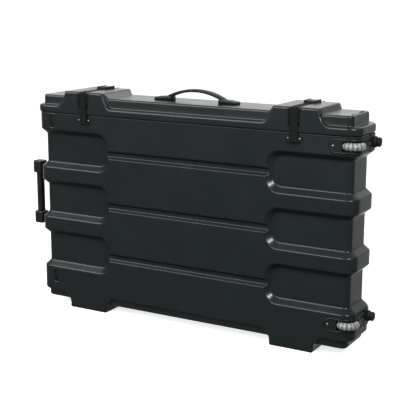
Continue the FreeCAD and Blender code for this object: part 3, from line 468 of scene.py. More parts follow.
def make_base(size):
    """The base: bands, pockets, grooves, feet and keel."""
    rim_round, low_round = 2.5 * MM, 6 * MM
    join = size.pocket_first - 12 * MM
    outline = foot_outline(size)
    marks = list(outline[:, 0]) + [400 * MM, 545 * MM]
    marks += [size.pocket_inner + t * MM for t in POCKET_COLUMNS]
    marks += spread(0, size.pocket_inner - 8 * MM, 90 * MM)
    marks = mirrored_marks(marks) + both_ways(SLOT_X, SLOT_COLUMNS)
    rim = HalfRim(HALF_LENGTH, HALF_DEPTH, size.corner, thinned(marks, 0.25 * MM))
    lower = np.interp(np.abs(rim.along), outline[:, 0], outline[:, 1])
    over = edge_rows(rim, lower, -1, low_round)
    halves = []
    for is_front in (True, False):
        rows = [rim.row(inset, RIM - drop) for inset, drop in quarter(rim_round, 5)[:-1]]
        rows += [rim.row(base_depth(size, rim.along, height, is_front), height)
                 for height in base_heights(size, rim_round, join)]
        last = rows[-1]
        rows += [last + (over[0] - last) * share for share in (0.25, 0.5, 0.75)]
        halves.append(rows + over)
    seats = slot_levels()

    def in_wheel_seat(a, b):
        """The wheels' housings fill this part of the corner, so the skin is open there."""
        x, y, z = (a + b) / 2
        return any(abs(z - seat) < SEAT_HALF for seat in seats) and x > SEAT_START and y < SEAT_FACE

    base = shell_mesh("case_base", *halves, True, in_wheel_seat)
    add_keel(base, size)
    thicken(base, size.wall)
    finish_mesh("case_base", "base", "shell", ["base_shell"])


def make_slot_shade_sheets():
    """Near-black sheets at the bottom of the moulded hand slots: painted shade that makes the slots look
    dark.
    """
    short, thick = 4.5 * MM, 0.8 * MM
    bm = bmesh.new()
    for level in slot_levels():
        spot = Vector((MIDDLE + SLOT_X, -HALF_DEPTH + SLOT_DEEP - 0.6 * MM, level))
        scale = Vector((2 * SLOT_HALF[0] - short, thick, 2 * SLOT_HALF[1] - short))
        bmesh.ops.create_cube(bm, size=1, matrix=Matrix.LocRotScale(spot, None, scale))
    # Painted shade: a near-black sheet in each slot stands in for the shadow inside the recess.
    piece = from_bmesh("slot_shade_sheets", bm)
    bevel = piece.modifiers.new("Rounded edges", "BEVEL")
    bevel.width = 0.3 * MM
    bake_modifiers(piece)
    finish_mesh("slot_shade_sheets", "base", "seal")


# Share of the step reached, and the drop in millimetres at the sides and at the ends.
KEEL_WALL = ((0.10, 0, 0), (0.5, 2.0, 6.5), (0.86, 4.0, 12.0), (0.96, 6.0, 14.5), (1.0, 10.5, 18.0))


def add_keel(base, size):
    """The keel that drops from the band's underside, drawn in more at the ends than at the sides."""
    soft, lap = 6 * MM, 1.2 * MM
    rim = HalfRim(HALF_LENGTH, HALF_DEPTH, size.corner, spread(-540 * MM, 540 * MM, 180 * MM))
    share = rim.outward[:, 0] ** 2
    step = size.keel_side + (size.keel_end - size.keel_side) * share
    start = size.band_bottom + 1.5 * MM
    profile = []
    for part, side_drop, end_drop in KEEL_WALL:
        drop = side_drop + (end_drop - side_drop) * share
        profile.append((step * part + lap * (1 - part), start - drop * MM))
    profile += [(step + inset, size.keel_bottom + rise) for rise, inset in quarter(soft, 5)]
    grid = [rim.row(inset, height) + (MIDDLE, 0, 0) for inset, height in profile]
    bm = bmesh.new()
    bm.from_mesh(base.data)
    both_sides(bm, grid, grid, True)
    bm.to_mesh(base.data)
    bm.free()


# ------------------------------------------------------------------ the lid


def block_outline(size):
    """Top of the lid at the front face, for x from the middle outwards."""
    low, high, crown = size.block_inner, size.block_outer, BLOCK_TOP
    return rounded_path([
        (0, size.flange_top, 0), (low - 24.5 * MM, size.flange_top, 23 * MM),
        (low + 2.5 * MM, crown, 8 * MM), (high - MM, crown, 8 * MM),
        (high + 9 * MM, crown - 33 * MM, 30 * MM), (high + 30 * MM, size.flange_top, 26 * MM),
        (LID_HALF_LENGTH - size.corner - 4 * MM, size.flange_top, 0),
    ])


def strap_places():
    return [centre_of(f"strap_upper_{side}").x - MIDDLE for side in ("left", "right")]


CHANNEL_HALF = 16 * MM
CHANNEL_DEEP = 4 * MM


CHANNEL_EDGE = (-4, -1.4, -0.9, 0, 0.9, 1.4, 4)


def make_lid(size):
    """The lid: flange, low panels, stacking blocks with strap channels, and its tongue."""
    proud = LID_HALF_LENGTH - HALF_LENGTH
    low_round, top_round, panel_round, foot = 6 * MM, 8 * MM, 7 * MM, 4 * MM
    outline = block_outline(size)
    marks = mirrored_marks(list(outline[:, 0]) + [60 * MM, 160 * MM, 250 * MM, 545 * MM])
    for place in strap_places():
        for way in (-1, 1):
            marks += [place + way * (CHANNEL_HALF + t * MM) for t in CHANNEL_EDGE]
    rim = HalfRim(LID_HALF_LENGTH, LID_HALF_DEPTH, size.corner + proud, thinned(marks, 0.25 * MM), 11)
    upper = np.interp(np.abs(rim.along), outline[:, 0], outline[:, 1])
    for place in strap_places():
        upper = upper - soft_ramp(CHANNEL_HALF - np.abs(rim.along - place), 2.5, CHANNEL_DEEP, 1.2 * MM)
    inset = size.panel_side + (size.panel_end - size.panel_side) * rim.outward[:, 0] ** 2
    rows = [rim.row(pull, size.flange_low + rise) for pull, rise in quarter(low_round, 5)]
    over = edge_rows(rim, upper, 1, top_round, 6)
    start = rows[-1]
    rows += [start + (over[0] - start) * share for share in (0.3, 0.65)] + over
    wall = size.panel_top - size.flange_top
    profile = [(-foot, 0), (-1.2 * MM, 0.8 * MM), (0, foot), (0.5 * MM, wall / 2)]
    profile += [(MM + step, wall - drop) for drop, step in quarter(panel_round, 6)]
    profile.append((14 * MM, wall))
    rows += [rim.row(inset + step, np.maximum(upper, size.flange_top + rise)) for step, rise in profile]
    lid = shell_mesh("case_lid", rows, rows, False)
    thicken(lid, size.wall)
    finish_mesh("case_lid", "lid", "shell", ["lid_shell"])
    make_tongue(size)


def make_tongue(size):
    """The lid's tongue: the ring that reaches into the base."""
    inset = size.wall + 2 * MM
    thick, soft = 3 * MM, 0.8 * MM
    rim = HalfRim(HALF_LENGTH - inset, HALF_DEPTH - inset, size.corner - inset, [], 11)
    low, high = LID_LOW.z, size.flange_low + 8 * MM
    ring = [(0, high), (0, low + soft), (soft, low), (thick - soft, low), (thick, low + soft),
            (thick, high), (0, high)]
    bm = bmesh.new()
    grid = [rim.row(step, height) + (MIDDLE, 0, 0) for step, height in ring]
    sheet_faces(bm, grid, False)
    sheet_faces(bm, [row * MIRROR for row in grid], True)
    bmesh.ops.remove_doubles(bm, verts=bm.verts, dist=1e-6)
    from_bmesh("lid_tongue", bm)
    finish_mesh("lid_tongue", "lid", "shell", smooth=False)


# ------------------------------------------------------------------ softened fittings


def softened(node, width, body, finish, segments=3):
    """A copy of a hard fitting with its edges rounded by a width in millimetres."""
    bm = bmesh.new()
    bm.from_mesh(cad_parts[node].data)
    bmesh.ops.remove_doubles(bm, verts=bm.verts, dist=2e-6)
    bmesh.ops.dissolve_degenerate(bm, dist=1e-6, edges=bm.edges)
    bmesh.ops.dissolve_limit(bm, angle_limit=math.radians(1.5), verts=bm.verts, edges=bm.edges)
    piece = from_bmesh("soft_" + node, bm)
    bevel = piece.modifiers.new("Rounded edges", "BEVEL")
    bevel.width = width * MM
    bevel.segments = segments
    bevel.limit_method = "ANGLE"
    bevel.angle_limit = math.radians(28)
    bake_even(piece)
    return finish_mesh(piece.name, body, finish, [node])


# ------------------------------------------------------------------ straps


def strap_route(side):
    """Middle line of a strap over the case, as (y, z) pairs from the front bar to the rear one."""
    low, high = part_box(f"strap_lower_{side}")
    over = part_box(f"strap_upper_{side}")
    thick = 2 * MM
    out_y = high.y - thick / 2
    top = over[1].z - thick / 2
    corner = 9 * MM
    hump = 3 * MM
    half = rounded_path([
        (-out_y, low.z + 1.5 * MM, 0), (-out_y, top + hump / 2, corner),
        (-out_y + 34 * MM, top + hump, 30 * MM), (-out_y + 62 * MM, top, 40 * MM), (0, top, 0)], 8)
    mirrored = [(-y, z) for y, z in half[::-1]][1:]
    return [tuple(p) for p in half] + mirrored, thick


def fine_path(path, step, closed=False):
    """A path with points added, so that none are further apart than a step."""
    fine = [] if closed else [np.array(path[0])]
    for a, b in zip(path, path[1:]):
        a, b = np.array(a), np.array(b)
        count = max(1, math.ceil(np.linalg.norm(b - a) / step))
        fine += [a + (b - a) * (i + (not closed)) / count for i in range(count)]
    return fine


def make_strap(side):
    """One length of webbing from the front anchor, over the lid, to the rear anchor."""
    route, thick = strap_route(side)
    fine = np.array(fine_path(route, 5 * MM))
    low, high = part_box(f"strap_upper_{side}")
    middle, half, top = (low.x + high.x) / 2, (high.x - low.x) / 2, thick / 2
    soft = 0.7 * MM
    section = [(-half, -top + soft), (-half + soft, -top), (half - soft, -top), (half, -top + soft),
               (half, top - soft), (half - soft, top), (-half + soft, top), (-half, top - soft)]
    bm = bmesh.new()
    uv = bm.loops.layers.uv.new("UVMap")
    rings, places, run = [], {}, 0.0
    for i, spot in enumerate(fine):
        a, b = fine[max(i - 1, 0)], fine[min(i + 1, len(fine) - 1)]
        way = (b - a) / np.linalg.norm(b - a)
        normal = np.array([-way[1], way[0]])
        run += 0 if i == 0 else float(np.linalg.norm(spot - fine[i - 1]))
        ring = [bm.verts.new((middle + across, *(spot + normal * out))) for across, out in section]
        places.update({vert: (across, run) for vert, (across, _) in zip(ring, section)})
        rings.append(ring)
    tube_faces(bm, rings)
    for face in bm.faces:
        if len(face.verts) == 4:
            for loop in face.loops:
                loop[uv].uv = places[loop.vert]
    piece = from_bmesh(f"strap_webbing_{side}", bm)
    piece.data.materials.append(MATERIALS["webbing"])
    for face in piece.data.polygons:
        face.use_smooth = True
    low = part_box(f"strap_lower_{side}")[0].z
    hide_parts(f"strap_lower_{side}", f"strap_upper_{side}")
    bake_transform(piece)


# ------------------------------------------------------------------ carry handle


def make_carry_grip(size):
    """The arched grip, thinner at its edges than along its middle."""
    low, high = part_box("carry_handle_grip")
    half = (high.x - low.x) / 2
    wide, thick = (high.y - low.y) / 2, size.grip_thick
    peak, feet = high.z - thick / 2, low.z + thick / 2
    rise = peak - feet
    radius = (half * half + rise * rise) / (2 * rise)
    sweep = math.asin(half / radius)
    axis = Vector(((low.x + high.x) / 2, 0, peak - radius))
    bm = bmesh.new()
    rings = []
    steps, around = 48, 20
    for i in range(steps + 1):
        turn = -sweep + 2 * sweep * i / steps
        out = Vector((math.sin(turn), 0, math.cos(turn)))
        ring = []
        for k in range(around):
            a = 2 * math.pi * k / around
            cos, sin = math.cos(a), math.sin(a)
            across = wide * math.copysign(abs(cos) ** 0.3, cos)
            up = thick / 2 * math.copysign(abs(sin) ** 0.5, sin)
            ring.append(bm.verts.new(axis + out * radius + out * up + Vector((0, across, 0))))
        rings.append(ring)
    tube_faces(bm, rings)
    from_bmesh("carry_grip", bm)
    finish_mesh("carry_grip", "lid", "rubber", ["carry_handle_grip"])


# Sections of a handle cap, as shares of its length, half width and height.
CAP_SECTIONS = (
    (0.00, 0.86, 0.90), (0.03, 0.97, 0.98), (0.10, 1.0, 1.0), (0.26, 1.0, 1.0), (0.31, 1.0, 0.98),
    (0.34, 0.99, 0.93), (0.60, 0.97, 0.86), (0.85, 0.94, 0.72), (0.95, 0.90, 0.64),
    (0.985, 0.84, 0.54), (1.0, 0.76, 0.42),
)


def make_handle_cap(side):
    """A moulded cap that holds one end of the grip: low outside, stepped up at the grip."""
    low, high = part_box(f"carry_handle_cap_{side}")
    way = -1 if side == "left" else 1
    inner = low.x if way == 1 else high.x
    bm = bmesh.new()
    rings = []
    for share, wide, height in CAP_SECTIONS:
        x = inner + way * share * (high.x - low.x)
        y, z = (high.y - low.y) / 2 * wide, (high.z - low.z) * height
        soft = min(4.5 * MM, 0.8 * z)
        shape = rounded_path([(-y, 0, 0), (-y, z, soft), (y, z, soft), (y, 0, 0)], 5)
        rings.append([bm.verts.new((x, p[0], low.z + p[1])) for p in shape])
    tube_faces(bm, rings)
    from_bmesh(f"handle_cap_{side}", bm)
    finish_mesh(f"handle_cap_{side}", "lid", "fitting",
                [f"carry_handle_cap_{side}"])


# ------------------------------------------------------------------ wheels


def make_tyre(end):
    """A clear urethane tyre with a round crown."""
    node = f"wheel_tyre_{end}"
    low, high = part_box(node)
    centre, radius, half = (low + high) / 2, (high.x - low.x) / 2, (high.z - low.z) / 2
    bore = (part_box(f"wheel_hub_{end}")[1].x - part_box(f"wheel_hub_{end}")[0].x) / 2
    crown, steps, around = 12 * MM, 12, 72
    tread = []
    for i in range(steps + 1):
        share = math.sin(math.pi / 2 * (1 - i / steps))
        tread.append((radius - crown * (1 - math.sqrt(max(0, 1 - share * share))), half * share))
    upper = [(bore + 0.1 * MM, half * 0.80), (bore + 1.2 * MM, half * 0.96)] + tread
    outline = upper + [(r, -z) for r, z in upper[-2::-1]]
    turns = [2 * math.pi * i / around for i in range(around)]
    bm = bmesh.new()
    rings = [[bm.verts.new(centre + Vector((r * math.cos(turn), r * math.sin(turn), z)))
              for turn in turns] for r, z in outline]
    tube_faces(bm, rings, looped=True)
    from_bmesh(f"tyre_{end}", bm)
    finish_mesh(f"tyre_{end}", f"{end}_wheel", "tyre", [node])


def show_spokes(made, spokes=16):
    """Darkens a tyre's material between the spokes that show through it."""
    tree = made.node_tree
    shader = tree.nodes["Principled BSDF"]
    axis = centre_of("wheel_tyre_upper")
    where = add_node(tree, "ShaderNodeTexCoord").outputs["Object"]
    shift = add_node(tree, "ShaderNodeMapping", {"Location": (-axis.x, -axis.y, 0), "Vector": where})
    split = add_node(tree, "ShaderNodeSeparateXYZ", {0: shift.outputs[0]})
    turn = maths(tree, "ARCTAN2", split.outputs["Y"], split.outputs["X"])
    wave = maths(tree, "SINE", maths(tree, "MULTIPLY", turn, spokes))
    soft = add_node(tree, "ShaderNodeMapRange", {
        "From Min": -0.3, "From Max": 0.8, "To Min": 0.2, "Value": wave})
    plain = shader.inputs["Base Color"].links[0].from_socket
    dim = mix(tree, soft.outputs[0], (0.10, 0.105, 0.11, 1), plain)
    tree.links.new(dim, shader.inputs["Base Color"])


def make_plate_bead(end, size):
    """The raised border of a corner plate: a bead that follows its outline round the corner."""
    low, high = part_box(f"wheel_bracket_{end}")
    mid, tall = (low.z + high.z) / 2, (high.z - low.z) / 2
    skin_x, skin_y = high.x - MIDDLE, -low.y
    radius = size.corner + skin_x - HALF_LENGTH
    straight = skin_x - radius
    start = low.x - MIDDLE
    arc = math.pi / 2 * radius
    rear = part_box(f"bumper_plate_{end}")[0].y - 4 * MM
    length = (straight - start) + arc + (skin_y - radius) + rear
    edge = 3 * MM
    half = tall - edge
    path = rounded_path([
        (length / 2, -half, 0), (length - edge, -half, 4 * MM), (length - edge, half, 4 * MM),
        (edge, half, half - 0.1 * MM), (edge, -half, half - 0.1 * MM), (length / 2, -half, 0)], 10)
    spots, normals = [], []
    for run, rise in fine_path(path, 4 * MM, closed=True):
        place = start + run
        if place <= straight:
            spot, normal = (place, -skin_y), (0, -1)
        elif place <= straight + arc:
            turn = (place - straight) / radius
            normal = (math.sin(turn), -math.cos(turn))
            spot = (straight + radius * normal[0], -skin_y + radius + radius * normal[1])
        else:
            spot, normal = (skin_x, -skin_y + radius + place - straight - arc), (1, 0)
        spots.append(Vector((spot[0] + MIDDLE, spot[1], mid + rise)))
        normals.append(Vector((*normal, 0)))
    bm = bmesh.new()
    rings = []
    high_mm, wide_mm, around = 1.3, 2, 8
    for i, (spot, normal) in enumerate(zip(spots, normals)):
        along = (spots[(i + 1) % len(spots)] - spots[i - 1]).normalized()
        side = along.cross(normal).normalized()
        turns = [2 * math.pi * k / around for k in range(around)]
        rings.append([bm.verts.new(
            spot + normal * math.cos(turn) * high_mm * MM + side * math.sin(turn) * wide_mm * MM)
            for turn in turns])
    tube_faces(bm, rings, looped=True)
    from_bmesh(f"plate_bead_{end}", bm)
    finish_mesh(f"plate_bead_{end}", "base", "fitting")


# ------------------------------------------------------------------ linings


def make_lining(node, body):
    """A foam lining: the node's block with soft edges."""
    piece = softened(node, 3, body, "foam")


# ------------------------------------------------------------------ nodes


def fill(tree, node, inputs):
    """Sets a node's inputs, by name or place, to values or to the sockets that feed them."""
    for key, value in inputs.items():
        if isinstance(value, bpy.types.NodeSocket):
            tree.links.new(value, node.inputs[key])
        else:
            node.inputs[key].default_value = value
    return node


def add_node(tree, kind, inputs=(), **settings):
    node = tree.nodes.new(kind)
    for name, value in settings.items():
        setattr(node, name, value)
    return fill(tree, node, dict(inputs))


def maths(tree, operation, *values):
    return add_node(tree, "ShaderNodeMath", dict(enumerate(values)), operation=operation).outputs[0]


def mix(tree, share, first, second):
    """A colour between two others."""
    return add_node(tree, "ShaderNodeMix", {0: share, 6: first, 7: second}, data_type="RGBA").outputs[2]


def group_sockets(tree, inputs, outputs):
    for name, kind, value in inputs:
        socket = tree.interface.new_socket(name, in_out="INPUT", socket_type=kind)
        if value is not None:
            socket.default_value = value
    for name, kind in outputs:
        tree.interface.new_socket(name, in_out="OUTPUT", socket_type=kind)
    return tree.nodes.new("NodeGroupInput"), tree.nodes.new("NodeGroupOutput")


# ------------------------------------------------------------------ screws

HEAD = 2.4 * MM


def screw_tree():
    """Geometry nodes that set a round-headed, cross-slotted screw on every point."""
    tree = bpy.data.node_groups.new("Screw heads", "GeometryNodeTree")
    start, end = group_sockets(
        tree,
        [("Geometry", "NodeSocketGeometry", None), ("Head radius", "NodeSocketFloat", 5 * MM),
         ("Head height", "NodeSocketFloat", HEAD), ("Finish", "NodeSocketMaterial", None)],
        [("Geometry", "NodeSocketGeometry")])
    head_r, head_h = start.outputs["Head radius"], start.outputs["Head height"]
    dome = add_node(tree, "GeometryNodeMeshUVSphere", {"Segments": 24, "Rings": 12, "Radius": head_r})
    low = add_node(tree, "ShaderNodeCombineXYZ", {0: 1, 1: 1, 2: maths(tree, "DIVIDE", head_h, head_r)})
    flat = add_node(tree, "GeometryNodeTransform", {
        "Geometry": dome.outputs["Mesh"], "Scale": low.outputs[0]})
    cut = add_node(tree, "GeometryNodeMeshBoolean", operation="DIFFERENCE", solver="EXACT")
    tree.links.new(flat.outputs[0], cut.inputs["Mesh 1"])
    long, narrow = [maths(tree, "MULTIPLY", head_r, share) for share in (1.15, 0.24)]
    up = add_node(tree, "ShaderNodeCombineXYZ", {2: head_h})
    for wide, deep in ((long, narrow), (narrow, long)):
        across = add_node(tree, "ShaderNodeCombineXYZ", {0: wide, 1: deep, 2: head_h})
        bar = add_node(tree, "GeometryNodeMeshCube", {"Size": across.outputs[0]})
        lift = add_node(tree, "GeometryNodeTransform", {
            "Geometry": bar.outputs["Mesh"], "Translation": up.outputs[0]})
        tree.links.new(lift.outputs[0], cut.inputs["Mesh 2"])
    facing = add_node(tree, "GeometryNodeInputNamedAttribute", {"Name": "facing"},
                      data_type="FLOAT_VECTOR")
    turn = add_node(tree, "FunctionNodeAlignRotationToVector", {
        "Vector": facing.outputs["Attribute"]}, axis="Z")
    put = add_node(tree, "GeometryNodeInstanceOnPoints", {
        "Points": start.outputs["Geometry"], "Instance": cut.outputs["Mesh"],
        "Rotation": turn.outputs[0]})
    real = add_node(tree, "GeometryNodeRealizeInstances", {0: put.outputs[0]})
    paint = add_node(tree, "GeometryNodeSetMaterial", {
        "Geometry": real.outputs[0], "Material": start.outputs["Finish"]})
    tree.links.new(paint.outputs[0], end.inputs[0])
    return tree


def make_screws(node, body, radius):
    """The heads of a node's screws, each facing the way that its screw points."""
    name = "heads_" + node
    spots = screw_spots(node)
    mesh = bpy.data.meshes.new(name)
    mesh.from_pydata([p for p, _ in spots], [], [])
    facing = mesh.attributes.new("facing", "FLOAT_VECTOR", "POINT")
    for i, (_, way) in enumerate(spots):
        facing.data[i].vector = way
    piece = new_object(name, mesh)
    tree = bpy.data.node_groups.get("Screw heads") or screw_tree()
    live = piece.modifiers.new("Screws", "NODES")
    live.node_group = tree
    values = {"Head radius": radius, "Head height": HEAD, "Finish": MATERIALS["zinc"]}
    for item in tree.interface.items_tree:
        if item.in_out == "INPUT" and item.name in values:
            live[item.identifier] = values[item.name]
    bake_modifiers(piece)
    for face in piece.data.polygons:
        face.use_smooth = False
    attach(piece, body)
    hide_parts(node)


def solid_boxes(node):
    """The boxes (low, high) of a node's separate solids, found by walking its mesh."""
    bm = bmesh.new()
    bm.from_mesh(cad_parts[node].data)
    bmesh.ops.remove_doubles(bm, verts=bm.verts, dist=2e-6)
    left, boxes = set(bm.verts), []
    while left:
        stack = [left.pop()]
        low, high = stack[0].co.copy(), stack[0].co.copy()
        while stack:
            vert = stack.pop()
            low = Vector(map(min, low, vert.co))
            high = Vector(map(max, high, vert.co))
            for edge in vert.link_edges:
                other = edge.other_vert(vert)
                if other in left:
                    left.remove(other)
                    stack.append(other)
        boxes.append((low, high))
    bm.free()
    return sorted(boxes, key=lambda b: tuple(round(v, 4) for v in b[0]))


def screw_spots(node):
    """Where the node's screws sit under their heads, and the way each faces."""
    spots = []
    for low, high in solid_boxes(node):
        mid, size = (low + high) / 2, high - low
        if size.y > size.x and size.y > size.z:
            way = Vector((0, 1 if mid.y > 0 else -1, 0))
        elif size.x > size.z:
            way = Vector((1, 0, 0))
        else:
            way = Vector((0, 0, 1))
        end = Vector(tuple(high[i] if way[i] > 0 else low[i] if way[i] < 0 else mid[i] for i in range(3)))
        spots.append((end - way * HEAD, way))
    return spots


# ------------------------------------------------------------------ materials

MATERIALS = {}


def grain_group():
    """Pebbled mould grain with slow unevenness: a height and a mottle, both 0 to 1."""
    tree = bpy.data.node_groups.new("Mould grain", "ShaderNodeTree")
    start, end = group_sockets(
        tree,
        [("Vector", "NodeSocketVector", (0, 0, 0)), ("Grain size", "NodeSocketFloat", 900.0),
         ("Waviness", "NodeSocketFloat", 9.0)],
        [("Height", "NodeSocketFloat"), ("Mottle", "NodeSocketFloat")])
    where = start.outputs["Vector"]
    cells = add_node(tree, "ShaderNodeTexNoise", {
        "Vector": where, "Scale": start.outputs["Grain size"], "Detail": 3, "Roughness": 0.6})
    wave = add_node(tree, "ShaderNodeTexNoise", {
        "Vector": where, "Scale": start.outputs["Waviness"], "Detail": 2})
    fill(tree, end, {"Height": cells.outputs[0], "Mottle": wave.outputs[0]})
    return tree


def scuff_group():
    """Short fine scratches and rubbed patches as a mask, 0 to 1."""
    tree = bpy.data.node_groups.new("Scuffs", "ShaderNodeTree")
    start, end = group_sockets(
        tree,
        [("Vector", "NodeSocketVector", (0, 0, 0)), ("Size", "NodeSocketFloat", 14.0),
         ("Amount", "NodeSocketFloat", 0.4)],
        [("Mask", "NodeSocketFloat")])
    patches = add_node(tree, "ShaderNodeTexNoise", {
        "Vector": start.outputs["Vector"], "Scale": start.outputs["Size"], "Detail": 5,
        "Distortion": 0.8})
    keep = add_node(tree, "ShaderNodeMapRange", {
        "From Min": 0.56, "From Max": 0.78, "To Max": start.outputs["Amount"],
        "Value": patches.outputs[0]})
    fill(tree, end, {"Mask": keep.outputs[0]})
    return tree


def new_material(name):
    made = bpy.data.materials.new(name)
    made.use_nodes = True
    return made, made.node_tree, made.node_tree.nodes["Principled BSDF"]


def tinted(colour, share):
    """A colour made lighter or darker, with its alpha."""
    return (*[min(1, c * share) for c in colour], 1)


def material(name, colour, roughness, metallic=0.0, specular=0.5, grain=900.0, bump=0.1,
             depth=0.2 * MM, mottle=0.12, scuffs=0.25, scuff_colour=None, uneven=0.08):
    """A moulded, cast or drawn finish built from the shared grain and scuff groups."""
    made, tree, shader = new_material(name)
    where = add_node(tree, "ShaderNodeTexCoord").outputs["Object"]
    relief = add_node(tree, "ShaderNodeGroup", {"Vector": where, "Grain size": grain},
                      node_tree=bpy.data.node_groups.get("Mould grain") or grain_group())
    worn = add_node(tree, "ShaderNodeGroup", {"Vector": where, "Amount": scuffs},
                    node_tree=bpy.data.node_groups.get("Scuffs") or scuff_group())
    mottled = relief.outputs["Mottle"]
    shade = mix(tree, mottled, tinted(colour, 1 - mottle), tinted(colour, 1 + mottle))
    rubbed = (*scuff_colour, 1) if scuff_colour else tinted(colour, 1.7)
    gloss = add_node(tree, "ShaderNodeMapRange", {
        "To Min": roughness - uneven, "To Max": roughness + uneven, "Value": mottled})
    lift = add_node(tree, "ShaderNodeBump", {
        "Strength": bump, "Distance": depth, "Height": relief.outputs["Height"]})
    fill(tree, shader, {
        "Metallic": metallic, "Specular IOR Level": specular,
        "Base Color": mix(tree, worn.outputs["Mask"], shade, rubbed),
        "Roughness": gloss.outputs[0], "Normal": lift.outputs[0]})
    return made


def webbing_material(colour):
    """Woven polyester: ribs across the strap and a twill along it, on the strap's own UV map."""
    made, tree, shader = new_material("Woven webbing")
    where = add_node(tree, "ShaderNodeTexCoord").outputs["UV"]
    weft = add_node(tree, "ShaderNodeTexWave", {"Vector": where, "Scale": 180, "Distortion": 0.6},
                    bands_direction="Y")
    warp = add_node(tree, "ShaderNodeTexWave", {"Vector": where, "Scale": 240, "Distortion": 0.4},
                    bands_direction="DIAGONAL")
    weave = maths(tree, "MULTIPLY", weft.outputs["Fac"], warp.outputs["Fac"])
    rough = add_node(tree, "ShaderNodeMapRange", {"To Min": 0.95, "To Max": 0.8, "Value": weave})
    lift = add_node(tree, "ShaderNodeBump", {"Strength": 0.5, "Distance": 0.4 * MM, "Height": weave})
    fill(tree, shader, {
        "Specular IOR Level": 0.08, "Sheen Weight": 0.05, "Sheen Roughness": 0.4,
        "Base Color": mix(tree, weave, tinted(colour, 0.6), tinted(colour, 1.7)),
        "Roughness": rough.outputs[0], "Normal": lift.outputs[0]})
    return made


def make_materials(finish):
    """Every finish on the case."""
    MATERIALS.update({
        "shell": material("Moulded shell", finish.shell, 0.30, grain=700, bump=0.18,
                          depth=0.15 * MM, mottle=0.10, scuffs=0.15),
        "fitting": material("Black fitting", finish.fitting, 0.38, specular=0.4, grain=1500, bump=0.12),
        "rubber": material("Grip rubber", finish.fitting, 0.55, specular=0.35, grain=1800, bump=0.3),
        "foot": material("Bumper rubber", (0.012, 0.012, 0.013), 0.6, specular=0.35, grain=1600,
                         bump=0.3),
        "foam": material("Lining foam", finish.foam, 0.95, specular=0.1, grain=2600, bump=0.9,
                         depth=0.6 * MM, mottle=0.3, scuffs=0.0, uneven=0.03),
        "webbing": webbing_material(finish.webbing),
        "tyre": material("Wheel urethane", finish.wheel, 0.30, specular=0.55, grain=300, bump=0.05,
                         scuffs=0.35, scuff_colour=(0.16, 0.16, 0.16)),
        "hub": material("Hub nylon", (0.62, 0.64, 0.65), 0.28, bump=0.05, scuffs=0.1,
                        scuff_colour=(0.3, 0.3, 0.3)),
        "zinc": material("Zinc plated steel", (0.30, 0.31, 0.32), 0.30, metallic=1.0, grain=1200,
                         bump=0.08, scuffs=0.3, scuff_colour=(0.30, 0.30, 0.29)),
        "blackened": material("Black steel", (0.020, 0.021, 0.022), 0.36, metallic=0.4, grain=2200,
                              bump=0.15, scuffs=0.3, scuff_colour=(0.06, 0.06, 0.06)),
        "tube": material("Anodised tube", (0.055, 0.057, 0.060), 0.30, metallic=0.9, grain=2500,
                         bump=0.05, scuffs=0.35, scuff_colour=(0.25, 0.25, 0.26)),
        "seal": material("Seal rubber", (0.010, 0.010, 0.010), 0.7, specular=0.3, grain=1400, bump=0.2),
    })
    show_spokes(MATERIALS["tyre"])


# ------------------------------------------------------------------ stage


def aim(thing, target):
    way = Vector(target) - thing.location
    thing.rotation_euler = way.to_track_quat("-Z", "Y").to_euler()


def softbox(name, place, target, wide, tall, power):
    lamp = bpy.data.lights.new(name, "AREA")
    lamp.shape = "RECTANGLE"
    lamp.size, lamp.size_y = wide, tall
    lamp.energy = power
    thing = bpy.data.objects.new(name, lamp)
    thing.location = place
    aim(thing, target)
    bpy.context.scene.collection.objects.link(thing)


CAMERA_PLACE = (1.7293, -2.9236, 1.1625)
CAMERA_ROLL = math.radians(0.19)
SKY_BRIGHT_WAY = (-0.44, 0.895, 0.05)
# Name, place, aim, width, height and power of each light.
LIGHTS = (
    ("Overhead", (0.3, 2.3, 3.0), (MIDDLE, -0.3, 0), 3.6, 1.4, 25),
    ("Front fill", (-2.2, -3.8, 3.4), (MIDDLE, 0, 0.4), 5.6, 3.8, 300),
    ("Glint", (2.4, -1.35, 2.15), (0.3, 0, 0.4), 0.6, 0.7, 55),
)


def make_camera(scene, stage):
    camera = bpy.data.cameras.new("Camera")
    camera.lens = stage.lens
    camera.sensor_width = 36
    shot = new_object("Camera", camera)
    shot.location = CAMERA_PLACE
    shot.rotation_mode = "XYZ"
    look = Matrix.Rotation(stage.azimuth, 4, "Z") @ Matrix.Rotation(math.pi / 2 - stage.dip, 4, "X")
    shot.rotation_euler = (look @ Matrix.Rotation(CAMERA_ROLL, 4, "Z")).to_euler()
    scene.camera = shot


def make_floor():
    """A plain pale floor that neither lights the case nor shows in its gloss."""
    bm = bmesh.new()
    bmesh.ops.create_grid(bm, x_segments=1, y_segments=1, size=14)
    floor = from_bmesh("floor", bm)
    paper, tree, shader = new_material("Pale floor")
    fill(tree, shader, {
        "Base Color": (0.93, 0.93, 0.93, 1), "Roughness": 0.9, "Specular IOR Level": 0.1,
        "Emission Color": (1, 1, 1, 1), "Emission Strength": 0.75})
    floor.data.materials.append(paper)
    floor.visible_glossy = False
    floor.visible_diffuse = False


def make_sky(scene):
    """A dim studio that brightens behind the case."""
    world = bpy.data.worlds.new("Studio")
    scene.world = world
    world.use_nodes = True
    tree = world.node_tree
    where = add_node(tree, "ShaderNodeTexCoord").outputs["Generated"]
    tilt = add_node(tree, "ShaderNodeVectorMath", {
        0: where, 1: Vector(SKY_BRIGHT_WAY).normalized()}, operation="DOT_PRODUCT")
    level = add_node(tree, "ShaderNodeMapRange", {
        "From Min": 0.50, "From Max": 0.97, "To Min": 0.16, "To Max": 1.3,
        "Value": tilt.outputs["Value"]}, interpolation_type="SMOOTHSTEP")
    fill(tree, tree.nodes["Background"], {"Color": (1, 1, 1, 1), "Strength": level.outputs[0]})


